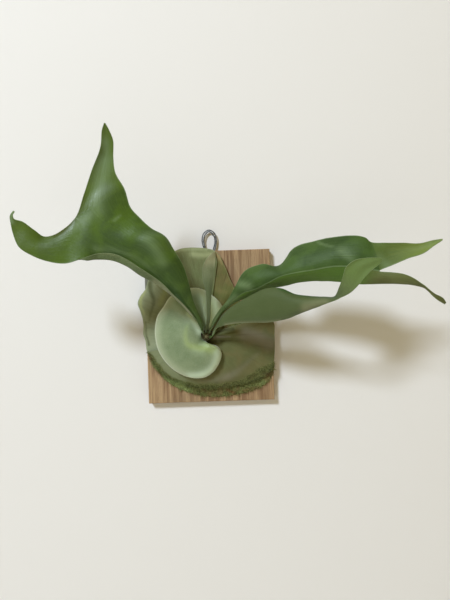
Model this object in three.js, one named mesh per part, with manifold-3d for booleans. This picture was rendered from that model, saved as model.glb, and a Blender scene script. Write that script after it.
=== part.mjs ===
// Mounted staghorn fern: a fern on a small cedar board with a wire loop to hang it by.
// Millimetres, +Z up. The origin is the centre of the board's back face.
// +Y points into the wall, so "out" below is the distance from the wall, -Y.
import * as THREE from 'three';
import { mergeVertices } from 'three/addons/utils/BufferGeometryUtils.js';
import Module from 'manifold-3d';

// Driving dimensions
const BOARD = { width: 150, height: 180, thick: 12, bevel: 0.8 };
const SEAT_GAP = 0.3;
const CROWN = { x: -2.4, z: -9.4, rootRadius: 6.5, budRadius: 4.2, budOut: 38, holeRadius: 6.9 };
const MOUND = { x: -3, z: -12, halfWidth: 80, halfHeight: 78, foot: 13, rise: 12, fall: 1.5 };
const SHIELD = { thick: 1.3, oldLevel: 2.4, upperLevel: 5.4, youngLevel: 8.4, youngThick: 1.5 };
const STIPE = { root: 2.4, thick: 3 };
const BLADE = { middle: 1.5, margin: 0.9 };
const LOOP = { x: 3.3, wire: 1.4, strandGap: 1.75, out: 4 };
const POCKET = { width: 28, bottom: 64, depth: 5 };
const STRAP = { width: 24, height: 9, thick: 1.2, z: 79, out: 1.8, screwSpan: 18 };
const NAIL = { headRadius: 3, headThick: 1, shankRadius: 0.9, tipOut: 4, clear: 0.3 };
const NAIL_PLACES = [[40, -28], [-22, -52], [-24, 42]];
const SCREW = { headRadius: 2.6, headThick: 1, shankRadius: 1.2, tipOut: 9.5, clear: 0.3 };

// The plant's outlines are read off a straight photograph of 450 by 600 pixels.
// Its eye stands 550 mm from the wall, and the board hangs turned by two degrees.
const EYE = { x: 19.9, out: 550, z: 30.6, focal: 451, roll: THREE.MathUtils.degToRad(1.95) };
const PICTURE_CENTRE = { u: 225, v: 300 };

// Colours
const COLOUR = {
  cedar: 0xa9825c, steel: 0x8c8d8b, moss: 0x4f5a2c, bud: 0x3b2c1a,
  oldShield: 0x6c6a43, leftShield: 0x7d8062, upperShield: 0x6c7547,
  youngShield: 0x8fa877, frond: 0x3f5a22, paleFrond: 0x5a6e40, smallFrond: 0x7c8a66,
};

const wasm = await Module();
wasm.setup();

// Basic helpers
function seen(u, v, out) {
  const across = u - PICTURE_CENTRE.u;
  const up = PICTURE_CENTRE.v - v;
  const scale = (EYE.out - out) / EYE.focal;
  const right = across * Math.cos(EYE.roll) + up * Math.sin(EYE.roll);
  const rise = up * Math.cos(EYE.roll) - across * Math.sin(EYE.roll);
  return new THREE.Vector3(EYE.x + right * scale, -out, EYE.z + rise * scale);
}

// A soft step from 0 to 1 as the value goes from one number to the other, up or down
function smooth(from, to, value) {
  const part = THREE.MathUtils.clamp((value - from) / (to - from), 0, 1);
  return part * part * (3 - 2 * part);
}

function named(name, geometry, color, roughness, metalness = 0) {
  const material = new THREE.MeshStandardMaterial({ color, roughness, metalness });
  const mesh = new THREE.Mesh(geometry, material);
  mesh.name = name;
  return mesh;
}

// A closed body from a front and a back layer of points that share their triangles
function slab(front, back, triangles) {
  const count = front.length;
  const index = [];
  const edges = new Map();
  for (const [a, b, c] of triangles) {
    index.push(a, b, c, c + count, b + count, a + count);
    for (const [from, to] of [[a, b], [b, c], [c, a]]) {
      edges.set(`${from},${to}`, [from, to]);
    }
  }
  for (const [from, to] of edges.values()) {
    if (!edges.has(`${to},${from}`)) {
      index.push(to, from, from + count, to, from + count, to + count);
    }
  }
  const geometry = new THREE.BufferGeometry();
  geometry.setFromPoints([...front, ...back]);
  geometry.setIndex(index);
  return geometry;
}

// Triangles of a grid whose rows list point numbers
function gridTriangles(rows) {
  const triangles = [];
  for (let i = 0; i + 1 < rows.length; i += 1) {
    for (let j = 0; j + 1 < rows[i].length; j += 1) {
      const [a, b] = [rows[i][j], rows[i][j + 1]];
      const [d, c] = [rows[i + 1][j], rows[i + 1][j + 1]];
      triangles.push([a, b, c], [a, c, d]);
    }
  }
  return triangles;
}

// A solid made of geometry, for cutting
function solid(geometry) {
  const bare = geometry.clone();
  bare.deleteAttribute('normal');
  bare.deleteAttribute('uv');
  const merged = mergeVertices(bare, 1e-4);
  const vertProperties = new Float32Array(merged.attributes.position.array);
  const triVerts = new Uint32Array(merged.index.array);
  return new wasm.Manifold(new wasm.Mesh({ numProp: 3, vertProperties, triVerts }));
}

function fromSolid(manifold) {
  const mesh = manifold.getMesh();
  const geometry = new THREE.BufferGeometry();
  geometry.setAttribute('position', new THREE.BufferAttribute(mesh.vertProperties, 3));
  geometry.setIndex(new THREE.BufferAttribute(mesh.triVerts, 1));
  return geometry;
}

// A round bar along the out direction, from one distance to another
function bar(radius, fromOut, toOut, x, z, sides) {
  const geometry = new THREE.CylinderGeometry(radius, radius, toOut - fromOut, sides);
  geometry.translate(x, -(fromOut + toOut) / 2, z);
  return geometry;
}

// Board with a pocket in its back for the loop's legs
function board() {
  const { width, height, thick, bevel } = BOARD;
  const face = new THREE.Shape();
  face.moveTo(bevel - width / 2, bevel - height / 2);
  face.lineTo(width / 2 - bevel, bevel - height / 2);
  face.lineTo(width / 2 - bevel, height / 2 - bevel);
  face.lineTo(bevel - width / 2, height / 2 - bevel);
  const plank = new THREE.ExtrudeGeometry(face, {
    depth: thick - 2 * bevel, bevelThickness: bevel, bevelSize: bevel, bevelSegments: 1,
  });
  plank.translate(0, 0, bevel);
  plank.rotateX(Math.PI / 2);
  const pocketHeight = height / 2 - POCKET.bottom;
  const pocket = new THREE.BoxGeometry(POCKET.width, 2 * POCKET.depth, 2 * pocketHeight);
  pocket.translate(LOOP.x, 0, height / 2);
  let body = solid(plank).subtract(solid(pocket));
  for (const side of [-1, 1]) {
    const x = LOOP.x + (side * STRAP.screwSpan) / 2;
    const radius = SCREW.shankRadius + SCREW.clear;
    const hole = bar(radius, 0, SCREW.tipOut + SCREW.clear, x, STRAP.z, 10);
    body = body.subtract(solid(hole));
  }
  for (const [x, z] of NAIL_PLACES) {
    const hole = bar(NAIL.shankRadius + NAIL.clear, NAIL.tipOut - NAIL.clear, BOARD.thick + 1, x, z, 8);
    body = body.subtract(solid(hole));
  }
  return named('board', fromSolid(body), COLOUR.cedar, 0.8);
}

// Wire loop: one wire wound twice round, its legs down in the pocket
function loopSide(inset) {
  const arch = [[5.2, 73], [5.3, 82], [6.3, 92], [8, 98.5], [8.55, 104.5], [6.7, 111.6]];
  return arch.map(([half, z]) => [half - inset, z - (inset * (z - 92)) / 24]);
}

function hangingLoop() {
  const route = [];
  const put = (x, z) => route.push(new THREE.Vector3(LOOP.x + x, -LOOP.out, z));
  const top = 115.8;
  const turn = { z: 67.5, half: 2.2 };
  for (const inset of [0, LOOP.strandGap]) {
    const side = loopSide(inset);
    side.forEach(([half, z]) => put(-half, z));
    put(0, top - inset);
    [...side].reverse().forEach(([half, z]) => put(half, z));
    if (inset === 0) {
      put(turn.half + 1.4, turn.z + 1.4);
      put(turn.half - 1, turn.z);
      put(0.4 - turn.half, turn.z);
      put(-turn.half - 0.5, turn.z + 1.6);
    }
  }
  const section = new THREE.Shape();
  section.absarc(0, 0, LOOP.wire / 2, 0, 2 * Math.PI, false);
  const geometry = new THREE.ExtrudeGeometry(section, {
    extrudePath: new THREE.CatmullRomCurve3(route), steps: 64, curveSegments: 3, bevelEnabled: false,
  });
  return named('hanging_loop', geometry, COLOUR.steel, 0.35, 0.9);
}

function strap() {
  const outline = new THREE.Shape();
  const round = 2;
  const [halfWidth, halfHeight] = [STRAP.width / 2 - round, STRAP.height / 2 - round];
  outline.absarc(halfWidth, -halfHeight, round, -Math.PI / 2, 0, false);
  outline.absarc(halfWidth, halfHeight, round, 0, Math.PI / 2, false);
  outline.absarc(-halfWidth, halfHeight, round, Math.PI / 2, Math.PI, false);
  outline.absarc(-halfWidth, -halfHeight, round, Math.PI, 1.5 * Math.PI, false);
  for (const side of [-1, 1]) {
    const hole = new THREE.Path();
    hole.absarc((side * STRAP.screwSpan) / 2, 0, SCREW.shankRadius + SCREW.clear, 0, 2 * Math.PI, true);
    outline.holes.push(hole);
  }
  const geometry = new THREE.ExtrudeGeometry(outline, {
    depth: STRAP.thick, curveSegments: 5, bevelEnabled: false,
  });
  geometry.rotateX(Math.PI / 2);
  geometry.translate(LOOP.x, -STRAP.out, STRAP.z);
  return named('loop_strap', geometry, COLOUR.steel, 0.4, 0.9);
}

function strapScrew(name, side) {
  const headBack = STRAP.out - SEAT_GAP;
  const headFront = headBack - SCREW.headThick;
  const profile = [
    [0, headFront], [SCREW.headRadius - 0.5, headFront], [SCREW.headRadius, headBack],
    [SCREW.shankRadius, headBack], [SCREW.shankRadius, SCREW.tipOut - 1.6], [0, SCREW.tipOut],
  ];
  const points = profile.map(([radius, out]) => new THREE.Vector2(radius, -out));
  const geometry = new THREE.LatheGeometry(points.reverse(), 12);
  geometry.translate(LOOP.x + (side * STRAP.screwSpan) / 2, 0, STRAP.z);
  return named(name, geometry, COLOUR.steel, 0.35, 0.9);
}

// The moss mound that the shields lie on, flat towards its foot
function ground(x, z) {
  const across = (x - MOUND.x) / MOUND.halfWidth;
  const up = (z - MOUND.z) / MOUND.halfHeight;
  const reach = Math.hypot(across, up);
  return MOUND.foot + MOUND.rise * Math.exp(-MOUND.fall * reach * reach) * smooth(0.95, 0.55, reach);
}

// A sheet that reaches from the hole round the crown out to a rim read off the photograph.
// rim: [u, v, out] points. start, end: angles at the hole in degrees, counterclockwise.
// front, back: distance out of each face, from the place and from s, 0 at the hole to 1 at the rim.
function sheet({ rim, start, end, closed, along, across, front, back, crowd = 1 }) {
  const curve = new THREE.CatmullRomCurve3(rim.map((point) => seen(...point)), closed);
  const rows = [];
  const [fronts, backs] = [[], []];
  const rowCount = closed ? along : along + 1;
  for (let i = 0; i < rowCount; i += 1) {
    const t = i / along;
    const edge = curve.getPoint(t);
    const angle = THREE.MathUtils.degToRad(start + (end - start) * t);
    const hole = {
      x: CROWN.x + CROWN.holeRadius * Math.cos(angle),
      z: CROWN.z + CROWN.holeRadius * Math.sin(angle),
    };
    const row = [];
    for (let j = 0; j <= across; j += 1) {
      const s = (j / across) ** crowd;
      const x = hole.x + (edge.x - hole.x) * s;
      const z = hole.z + (edge.z - hole.z) * s;
      const place = { x, z, s, t, edgeOut: -edge.y };
      row.push(fronts.length);
      fronts.push(new THREE.Vector3(x, -front(place), z));
      backs.push(new THREE.Vector3(x, -back(place), z));
    }
    rows.push(row);
  }
  if (closed) rows.push(rows[0]);
  return slab(fronts, backs, gridTriangles(rows));
}

// Moss pad with a lumpy fringe that shows below the shields
const MOSS_RIM = [
  [268, 330, 14], [271, 350, 14], [273.5, 369, 14], [268.5, 380, 14], [259, 387, 14],
  [247, 391.5, 14], [233, 394.5, 14], [219, 396, 14], [205, 395.5, 14], [191, 392.5, 14],
  [177, 387, 14], [165, 378.5, 14], [156.5, 369, 14], [151, 358, 14], [149, 340, 14],
  [149, 316, 14], [152, 294, 14], [164, 276, 14], [184, 264, 14], [205, 262, 14],
  [222, 276, 14], [234, 295, 14], [252, 315, 14],
];

function mossLump(x, z) {
  const coarse = Math.sin(x * 0.52 + 1.3 * Math.sin(z * 0.31)) * Math.sin(z * 0.61 + 0.4);
  const fine = Math.sin(x * 1.35 + z * 0.8) * Math.sin(z * 1.25 - x * 0.5);
  return 0.9 * coarse + 0.5 * fine;
}

function mossPad() {
  const geometry = sheet({
    rim: [...MOSS_RIM].reverse(), closed: true, start: 28, end: 388, along: 48, across: 5, crowd: 0.5,
    front: ({ x, z, s }) => {
      const fringe = smooth(0.88, 0.95, s) * smooth(-42, -52, z);
      return ground(x, z) + fringe * Math.max(mossLump(x, z) + 0.6, 0.2);
    },
    back: () => BOARD.thick + SEAT_GAP,
  });
  let pad = solid(geometry);
  for (const [x, z] of NAIL_PLACES) {
    const seat = nailSeat(x, z);
    pad = pad.subtract(solid(bar(NAIL.shankRadius + NAIL.clear, 0, seat + 5, x, z, 8)));
    pad = pad.subtract(solid(bar(NAIL.headRadius + NAIL.clear, seat - NAIL.clear, seat + 5, x, z, 12)));
  }
  return named('moss_pad', fromSolid(pad), COLOUR.moss, 1);
}

// Flat-headed nails that pin the moss to the board, under the shields
function nailSeat(x, z) {
  return ground(x, z) - NAIL.headThick;
}

function mossNail(name, [x, z]) {
  const seat = nailSeat(x, z);
  const profile = [
    [0, NAIL.tipOut], [NAIL.shankRadius, NAIL.tipOut + 1.5], [NAIL.shankRadius, seat],
    [NAIL.headRadius, seat], [NAIL.headRadius, seat + NAIL.headThick], [0, seat + NAIL.headThick],
  ];
  const points = profile.map(([radius, out]) => new THREE.Vector2(radius, -out));
  const geometry = new THREE.LatheGeometry(points.reverse(), 10);
  geometry.translate(x, 0, z);
  return named(name, geometry, COLOUR.steel, 0.5, 0.9);
}

// Folds that run out from the crown, as the shields dry
function pleat(x, z, count, phase) {
  const angle = Math.atan2(z - CROWN.z, x - CROWN.x);
  return Math.sin(angle * count + phase);
}

function shield(name, color, options) {
  const { level, folds, foldDepth, thick = SHIELD.thick, lift = () => 0 } = options;
  const front = (place) => {
    const fold = foldDepth * pleat(place.x, place.z, folds, options.phase) * smooth(0, 0.35, place.s);
    return ground(place.x, place.z) + level + fold + lift(place);
  };
  const geometry = sheet({ ...options, front, back: (place) => front(place) - thick });
  return named(name, geometry, color, 0.9);
}

// The lower shield rolls down at its rim and puckers into one tall fold right of the crown
function lowerShieldLift({ x, z, s, t }) {
  const angle = THREE.MathUtils.radToDeg(Math.atan2(z - CROWN.z, x - CROWN.x));
  const pucker = Math.exp(-(((angle - 2) / 7) ** 2)) * smooth(0.04, 0.16, s) * smooth(0.66, 0.2, s);
  const roll = smooth(0.8, 1, s) * smooth(0.08, 0.2, t) * smooth(1, 0.9, t);
  return 4.5 * pucker - 2.6 * roll;
}

function oldShields() {
  const upperRight = shield('old_shield_upper_right', COLOUR.upperShield, {
    rim: [
      [240, 305, 18], [236, 294, 18], [233, 285, 19], [230, 279, 20], [226.5, 270, 21],
      [222.5, 261, 22], [219, 254, 23], [214, 250, 24], [208, 250, 24], [203, 256, 23],
    ],
    start: 32, end: 112, along: 14, across: 6, level: SHIELD.oldLevel, folds: 9, foldDepth: 0.5, phase: 0.6,
    lift: ({ s, t }) => 3 * s ** 3 * smooth(0.1, 0.4, t) * smooth(0.85, 0.6, t),
  });
  const left = shield('old_shield_left', COLOUR.leftShield, {
    rim: [
      [166, 270, 20], [156, 274, 19], [148, 280, 18], [145, 289, 17], [139.5, 297, 16], [137.5, 304, 15.5],
      [140, 311, 15.5], [142.4, 319, 15.5], [143.3, 327, 15.5], [143, 334, 15.5], [145.5, 341, 15.5],
      [147, 351, 15.5], [152, 361, 15.5],
    ],
    start: 132, end: 214, along: 20, across: 7, level: SHIELD.oldLevel, folds: 14, foldDepth: 0.55, phase: 0,
    lift: ({ s, t }) => {
      const middle = smooth(0.15, 0.3, t) * smooth(0.85, 0.7, t);
      return middle * (1.5 * smooth(0.7, 0.9, s) - 3 * smooth(0.9, 1, s));
    },
  });
  const upperLeft = shield('old_shield_upper_left', COLOUR.upperShield, {
    rim: [
      [217, 262, 24], [215.5, 255, 25], [214, 250.3, 25], [207, 248.2, 25], [199, 247.4, 25], [189, 247.2, 25],
      [180, 248.4, 25], [172.5, 252, 25], [168, 260, 24], [165, 271, 23], [162, 284, 22],
    ],
    start: 76, end: 142, along: 18, across: 7, level: SHIELD.upperLevel, folds: 11, foldDepth: 0.6, phase: 2,
    lift: ({ s, t }) => {
      const roll = smooth(0.9, 1, s) * smooth(0.1, 0.25, t) * smooth(0.85, 0.7, t);
      return 5 * s ** 3 * smooth(1, 0.7, t) - 3 * roll;
    },
  });
  const lower = shield('old_shield_lower', COLOUR.oldShield, {
    rim: [
      [148.5, 352, 17], [152, 360, 17], [157, 367, 17], [163, 373.5, 17], [171, 379, 17], [181, 383, 17],
      [193, 386, 17], [207, 387.5, 17], [221, 387, 17], [236, 385, 17], [250, 381.5, 17], [261, 377.5, 17],
      [269.5, 372, 17], [273.5, 364, 17], [274.8, 350, 17], [274.6, 335, 17], [273.5, 322, 18], [262, 317, 19],
    ],
    start: 200, end: 382, along: 34, across: 7, level: SHIELD.upperLevel, folds: 7, foldDepth: 0.6, phase: 1.2,
    lift: lowerShieldLift,
  });
  return [upperRight, left, upperLeft, lower];
}

// The young shield: a kidney-shaped cushion that curls round the crown, and a fan above it
const YOUNG_RIM = [
  [223, 309, 32], [220.5, 303.5, 33], [216, 298.5, 34], [210, 294, 34], [204, 290, 34], [197, 288, 34],
  [188, 288.5, 33], [178, 292, 32], [169.8, 297, 31], [163.2, 307, 30], [157.4, 316, 29], [155, 328, 28],
  [155.3, 338, 28], [158, 349.5, 28], [163.2, 359, 28], [170, 366.8, 28], [178, 372.8, 28], [187, 376.8, 28],
  [196.3, 377.8, 28], [205, 376, 28], [213, 370, 29], [218.5, 361.5, 30], [220.8, 353.5, 32], [218.6, 347.4, 36],
  [213, 344.8, 40], [206.5, 344.6, 42],
];

function youngFront({ x, z, s, t, edgeOut }) {
  const base = Math.max(edgeOut, ground(x, z) + SHIELD.youngLevel);
  const dome = Math.sqrt(Math.max(0, 1 - s ** 2.4)) * smooth(-0.25, 0.36, s);
  const cushion = 14 * dome * smooth(0.2, 0.42, t) * smooth(1.06, 0.86, t);
  const fold = (height, at, wide) => height * Math.exp(-(((t - at) / wide) ** 2));
  const fan = (fold(4.5, 0.172, 0.024) - fold(2.5, 0.235, 0.03) + fold(1.5, 0.07, 0.05)) * Math.sin(Math.PI * s);
  return base * (1 - 0.1 * smooth(0.3, 0, s) * smooth(0.5, 0.9, t)) + cushion + fan;
}

function youngShield() {
  const geometry = sheet({
    rim: YOUNG_RIM, start: 48, end: 262, along: 44, across: 8, crowd: 0.8,
    front: youngFront,
    back: (place) => youngFront(place) - SHIELD.youngThick,
  });
  return named('young_shield', geometry, COLOUR.youngShield, 0.85);
}

// Rhizome: the root mass behind the shields and the scaly bud that the fronds leave
function rhizome() {
  const profile = [[0, BOARD.thick + SEAT_GAP], [CROWN.rootRadius, BOARD.thick + SEAT_GAP]];
  profile.push([CROWN.rootRadius, 31], [CROWN.budRadius + 0.8, 35]);
  for (let step = 0; step < 5; step += 1) {
    const angle = (step / 5) * (Math.PI / 2);
    profile.push([CROWN.budRadius * Math.cos(angle), CROWN.budOut + CROWN.budRadius * Math.sin(angle)]);
  }
  profile.push([0, CROWN.budOut + CROWN.budRadius]);
  const points = profile.map(([radius, out]) => new THREE.Vector2(radius, -out));
  const geometry = new THREE.LatheGeometry(points.reverse(), 24);
  geometry.translate(CROWN.x, 0, CROWN.z);
  return named('rhizome', geometry, COLOUR.bud, 1);
}

// Fronds. A station is [edge, lift, centre, lift, edge] across the blade: its points are
// [u, v, out], and a lift is either how far the half blade bulges out, in mm, or its middle point.
function across(left, lift, right) {
  if (Array.isArray(lift)) return seen(...lift);
  const middle = left.clone().add(right).multiplyScalar(0.5);
  middle.y -= lift;
  return middle;
}

function halfStation([left, lift, right]) {
  const [from, to] = [seen(...left), seen(...right)];
  return [from, across(from, lift, to), to];
}

function wholeStation([left, leftLift, centre, rightLift, right]) {
  return [...halfStation([left, leftLift, centre]), ...halfStation([centre, rightLift, right]).slice(1)];
}

// A cross line of the stipe's root, square to the stipe and some way out from the bud
function rootStation(aim, widthAim, away) {
  const direction = new THREE.Vector3(aim[0], -aim[1], aim[2]).normalize();
  const side = new THREE.Vector3(widthAim[0], -widthAim[1], widthAim[2]);
  side.addScaledVector(direction, -side.dot(direction)).normalize();
  const root = new THREE.Vector3(CROWN.x, -CROWN.budOut, CROWN.z);
  root.addScaledVector(direction, CROWN.budRadius + away);
  return [-1, -0.5, 0, 0.5, 1].map((part) => root.clone().addScaledVector(side, (part * STIPE.root) / 2));
}

function column(stations, index, steps) {
  const curve = new THREE.CatmullRomCurve3(stations.map((station) => station[index]), false, 'centripetal');
  const points = [];
  const count = (stations.length - 1) * steps;
  for (let i = 0; i <= count; i += 1) points.push(curve.getPoint(i / count));
  return points;
}

function parabola(first, middle, last, v) {
  const point = first.clone().multiplyScalar((1 - v) * (1 - 2 * v));
  point.addScaledVector(middle, 4 * v * (1 - v));
  return point.addScaledVector(last, v * (2 * v - 1));
}

// The inner margins of a frond's two lobes, which are one smooth curve through the notch
function notchMargins(lobes, notch, steps) {
  const [upper, lower] = lobes;
  const inner = [...lower.map(([first]) => first).reverse(), notch, ...upper.map((station) => station[2])];
  const curve = column(inner.map((point) => [point]), 0, steps);
  const middle = lower.length * steps;
  return [curve.slice(middle + 1), curve.slice(0, middle).reverse()];
}

// Rows of points across a half blade, from its three long curves
function halfBlade(columns, cells) {
  const [first, middle, last] = columns;
  return first.map((_, row) => {
    const points = [];
    for (let cell = 0; cell <= cells; cell += 1) {
      points.push(parabola(first[row], middle[row], last[row], cell / cells));
    }
    return points;
  });
}

function vertexNormals(points, triangles) {
  const normals = points.map(() => new THREE.Vector3());
  for (const [a, b, c] of triangles) {
    const side = points[b].clone().sub(points[a]);
    side.cross(points[c].clone().sub(points[a]));
    [a, b, c].forEach((corner) => normals[corner].add(side));
  }
  return normals.map((normal) => normal.normalize());
}

// Blade thickness: an oval stipe that flattens into a thin blade with a thinner margin
function bladeThickness(length, edge) {
  const stipe = smooth(0.3, 0.06, length);
  const round = Math.sqrt(Math.max(0, 1 - (1 - edge) ** 2));
  const blade = BLADE.margin + (BLADE.middle - BLADE.margin) * round * smooth(1, 0.75, length);
  const stipeThick = STIPE.root + (STIPE.thick - STIPE.root) * smooth(0, 0.05, length);
  return blade + (stipeThick - BLADE.middle) * stipe * round;
}

function frond(name, color, { root, trunk, lobes, steps = 2, cells = 3 }) {
  const roots = [SEAT_GAP + 0.1, STIPE.thick].map((away) => rootStation(...root, away));
  const stations = [...roots, ...trunk.map(wholeStation)];
  const lobeStations = (lobes ?? [[], []]).map((lobe) => lobe.map(halfStation));
  const centre = column(stations, 2, steps);
  const inner = lobes ? notchMargins(lobeStations, centre.at(-1), steps) : [[], []];
  const sides = [0, 1].map((side) => {
    const own = [...stations.map((station) => station.slice(2 * side, 2 * side + 3)), ...lobeStations[side]];
    const columns = [0, 1, 2].map((index) => column(own, index, steps));
    columns[2 - 2 * side] = [...centre, ...inner[side]];
    return halfBlade(columns, cells);
  });
  const forkRow = (stations.length - 1) * steps;
  const points = [];
  const reach = [];
  const add = (point, row, rowCount, edge) => {
    reach.push([row / rowCount, edge]);
    points.push(point);
    return points.length - 1;
  };
  const trunkRows = [];
  for (let row = 0; row <= forkRow; row += 1) {
    const whole = [...sides[0][row], ...sides[1][row].slice(1)];
    trunkRows.push(whole.map((point, i) => add(point, row, sides[0].length - 1, 1 - Math.abs(i / cells - 1))));
  }
  const triangles = gridTriangles(trunkRows);
  sides.forEach((half, side) => {
    const start = side * cells;
    const rows = [trunkRows[forkRow].slice(start, start + cells + 1)];
    for (let row = forkRow + 1; row < half.length; row += 1) {
      const middle = (i) => 1 - Math.abs((2 * i) / cells - 1);
      rows.push(half[row].map((point, i) => add(point, row, half.length - 1, middle(i))));
    }
    triangles.push(...gridTriangles(rows));
  });
  const normals = vertexNormals(points, triangles);
  const offset = (sign) => points.map((point, i) => (
    point.clone().addScaledVector(normals[i], sign * 0.5 * bladeThickness(...reach[i]))
  ));
  return named(name, slab(offset(1), offset(-1), triangles), color, 0.45);
}

// Left frond: up and out to the left, its lower margin rolled forward, then two broad lobes
const LEFT_FROND = {
  root: [[-0.52, 0.62, 0.59], [0.75, 0, 0.65]],
  trunk: [
    [[202.6, 323, 60], 0, [200.5, 324, 61], 0, [198.3, 324, 60]],
    [[198.3, 313, 69], 0.5, [194.5, 314, 71], [190.5, 313.5, 71], [193, 315.5, 74]],
    [[193.2, 300, 78], 0.5, [186, 303, 81], [178.5, 301, 81], [184, 305, 85]],
    [[188.6, 283, 86], 1, [178, 289, 90], [165.5, 289.5, 90], [173.5, 295, 96]],
    [[183.5, 266.5, 93], 2, [168, 275, 98], [153.5, 281.5, 97], [161.5, 283, 104]],
    [[175, 251.5, 99], 4, [156, 263, 105], [141, 274.5, 103], [147.5, 273, 110]],
    [[164.5, 236, 104], 7, [142.5, 250.5, 110], [127.5, 265, 109], [131.5, 262.5, 115]],
    [[151.6, 228.7, 107], 4, [125, 245, 115], [113, 259.8, 113], [114, 254, 118]],
    [[138, 218, 109], 0, [108, 236, 119], [99, 257.8, 117], [98.5, 253.5, 120]],
    [[129.8, 205, 112], 0, [91, 228, 121], [87, 256.5, 122], [86, 257, 124]],
    [[124.5, 189, 117], 0, [75.5, 217.5, 121], [69.5, 243, 124], [66, 263.4, 125]],
  ],
  lobes: [
    [
      [[115.4, 173, 121], -2.5, [84, 194, 121]],
      [[113, 157, 125], -3, [92.5, 168, 124]],
      [[113, 141, 130], -2.5, [100.4, 147, 129]],
      [[108.8, 129.5, 135], -1, [101.8, 130.5, 134]],
      [[105.3, 123, 138], 0, [104, 123, 138]],
    ],
    [
      [[58.5, 232.5, 122], 3, [47, 261.2, 128]],
      [[44.5, 236.6, 124], 3, [30.5, 254.8, 131]],
      [[33.5, 229.5, 130], 1, [18.5, 246.5, 133]],
      [[23, 222, 135], -1, [12.8, 233, 134]],
      [[14, 218.8, 137], 0, [10.3, 221, 136]],
      [[12.8, 215, 138], 0, [10, 215.8, 137]],
      [[14.8, 211.6, 138.5], 0, [13.3, 210.8, 138]],
    ],
  ],
};

// Upper right frond: a ridged blade out to the right with a raised lobe and a drooping one
const RIGHT_UPPER_FROND = {
  root: [[0.5, 0.6, 0.63], [-0.7, 0, 0.7]],
  trunk: [
    [[212, 322, 55], 0, [213.7, 322.6, 56], 0, [215.3, 323.2, 55]],
    [[218.5, 311, 60], 0, [221, 311.5, 61], 0, [223.5, 312, 59]],
    [[227.6, 300, 66], 1, [231.5, 301, 68], 0.5, [234, 303, 64]],
    [[235.2, 286.5, 71], 2, [243.5, 292.5, 76], 1, [247.5, 297.5, 69]],
    [[244.7, 271.4, 75], 5, [255.5, 289, 83], 1, [259, 293, 74]],
    [[261, 264.3, 81], 4, [268.5, 282.5, 91], 1, [271, 288.5, 79]],
    [[279, 265.5, 88], 3, [281, 276, 98], 1, [285, 286, 86]],
    [[294.5, 247.5, 92], 4, [297, 272.5, 105], 1, [299, 282.4, 93]],
    [[314, 241.3, 99], 5, [315, 269.6, 111], 1, [316, 281, 99]],
    [[335, 237, 107], 5, [334, 266.4, 117], 1, [335, 281.5, 105]],
    [[356, 235.7, 115], 4, [356, 267, 122], 1, [354, 283.7, 112]],
    [[365.5, 237.8, 118], 3, [368, 269, 123.6], 1, [363, 284.1, 115.5]],
    [[371, 242, 120], 2, [379.5, 271, 125], 1, [372, 284.2, 119]],
  ],
  lobes: [
    [
      [[386, 242.8, 124], -2, [393.5, 264.7, 128]],
      [[402, 242.8, 128], -3, [408, 258.4, 132]],
      [[420, 243.2, 132], -2, [423, 253.7, 136]],
      [[432.5, 240.3, 136], -1, [434.5, 245.8, 138]],
      [[442.5, 238.8, 139], 0, [442.6, 240.2, 139]],
    ],
    [
      [[392, 272.3, 129], 2, [388, 284, 123]],
      [[404, 274, 132], 2, [402, 284, 126]],
      [[415, 278.8, 133], 1, [414, 285.2, 127]],
      [[425.3, 286.2, 131], 0, [424.6, 288.4, 126]],
      [[434.5, 293.4, 123], 0, [432.8, 296, 125]],
      [[442.6, 298, 117], 0, [439.4, 301.3, 120]],
      [[446, 302.5, 113], 0, [444.6, 304.2, 114]],
    ],
  ],
};

// Lower right frond: a broad blade that turns on edge and ends in a raised pointed lobe
const RIGHT_LOWER_FROND = {
  root: [[0.72, 0.66, -0.16], [-0.2, 0, 1]],
  trunk: [
    [[218.8, 320.8, 52], 0, [217.8, 324.3, 54], 0, [216.2, 328.6, 53]],
    [[226.8, 310.5, 64], 1, [226, 317, 66.5], 0.5, [224, 325.6, 62]],
    [[240, 301.5, 76], 1.5, [239, 312.5, 78], 1, [237, 323.2, 72]],
    [[252.6, 294.6, 85], 2, [253, 309, 88], 1.5, [251, 322.7, 81]],
    [[265, 289, 93], 3, [268, 306.5, 97], 2, [268, 322.3, 90]],
    [[279.7, 288.3, 100], 3, [283, 305, 106], 2, [284, 319.6, 99]],
    [[294, 293.7, 104], 2.5, [297.5, 304, 112], 2, [300, 313.7, 107]],
    [[308, 296, 110], 1, [311.5, 302.5, 119], 1, [315, 308, 117]],
    [[322, 296.6, 115], 0, [325, 300, 124], 0, [328, 303, 126]],
    [[334, 296.5, 122], 0, [336.8, 297.6, 129], 0, [339.5, 298.5, 134]],
    [[339, 287.5, 131], 0, [345, 290, 137], 0, [351, 292.3, 141]],
    [[343, 276, 139], -1, [351, 280, 143], -1, [359.2, 284.2, 146]],
    [[346.5, 266.5, 144], -1.5, [355.5, 271.5, 147], -1.5, [366, 276, 149]],
    [[355, 260.3, 148], -1.5, [362.5, 265.5, 150], -1.5, [372.5, 269.5, 151]],
    [[368, 257.8, 150], -0.5, [372, 261.5, 152], -0.5, [378, 265.2, 152]],
    [[381, 257.8, 152], 0, [382, 259.4, 152.5], 0, [382.3, 261, 152]],
  ],
};

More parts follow.
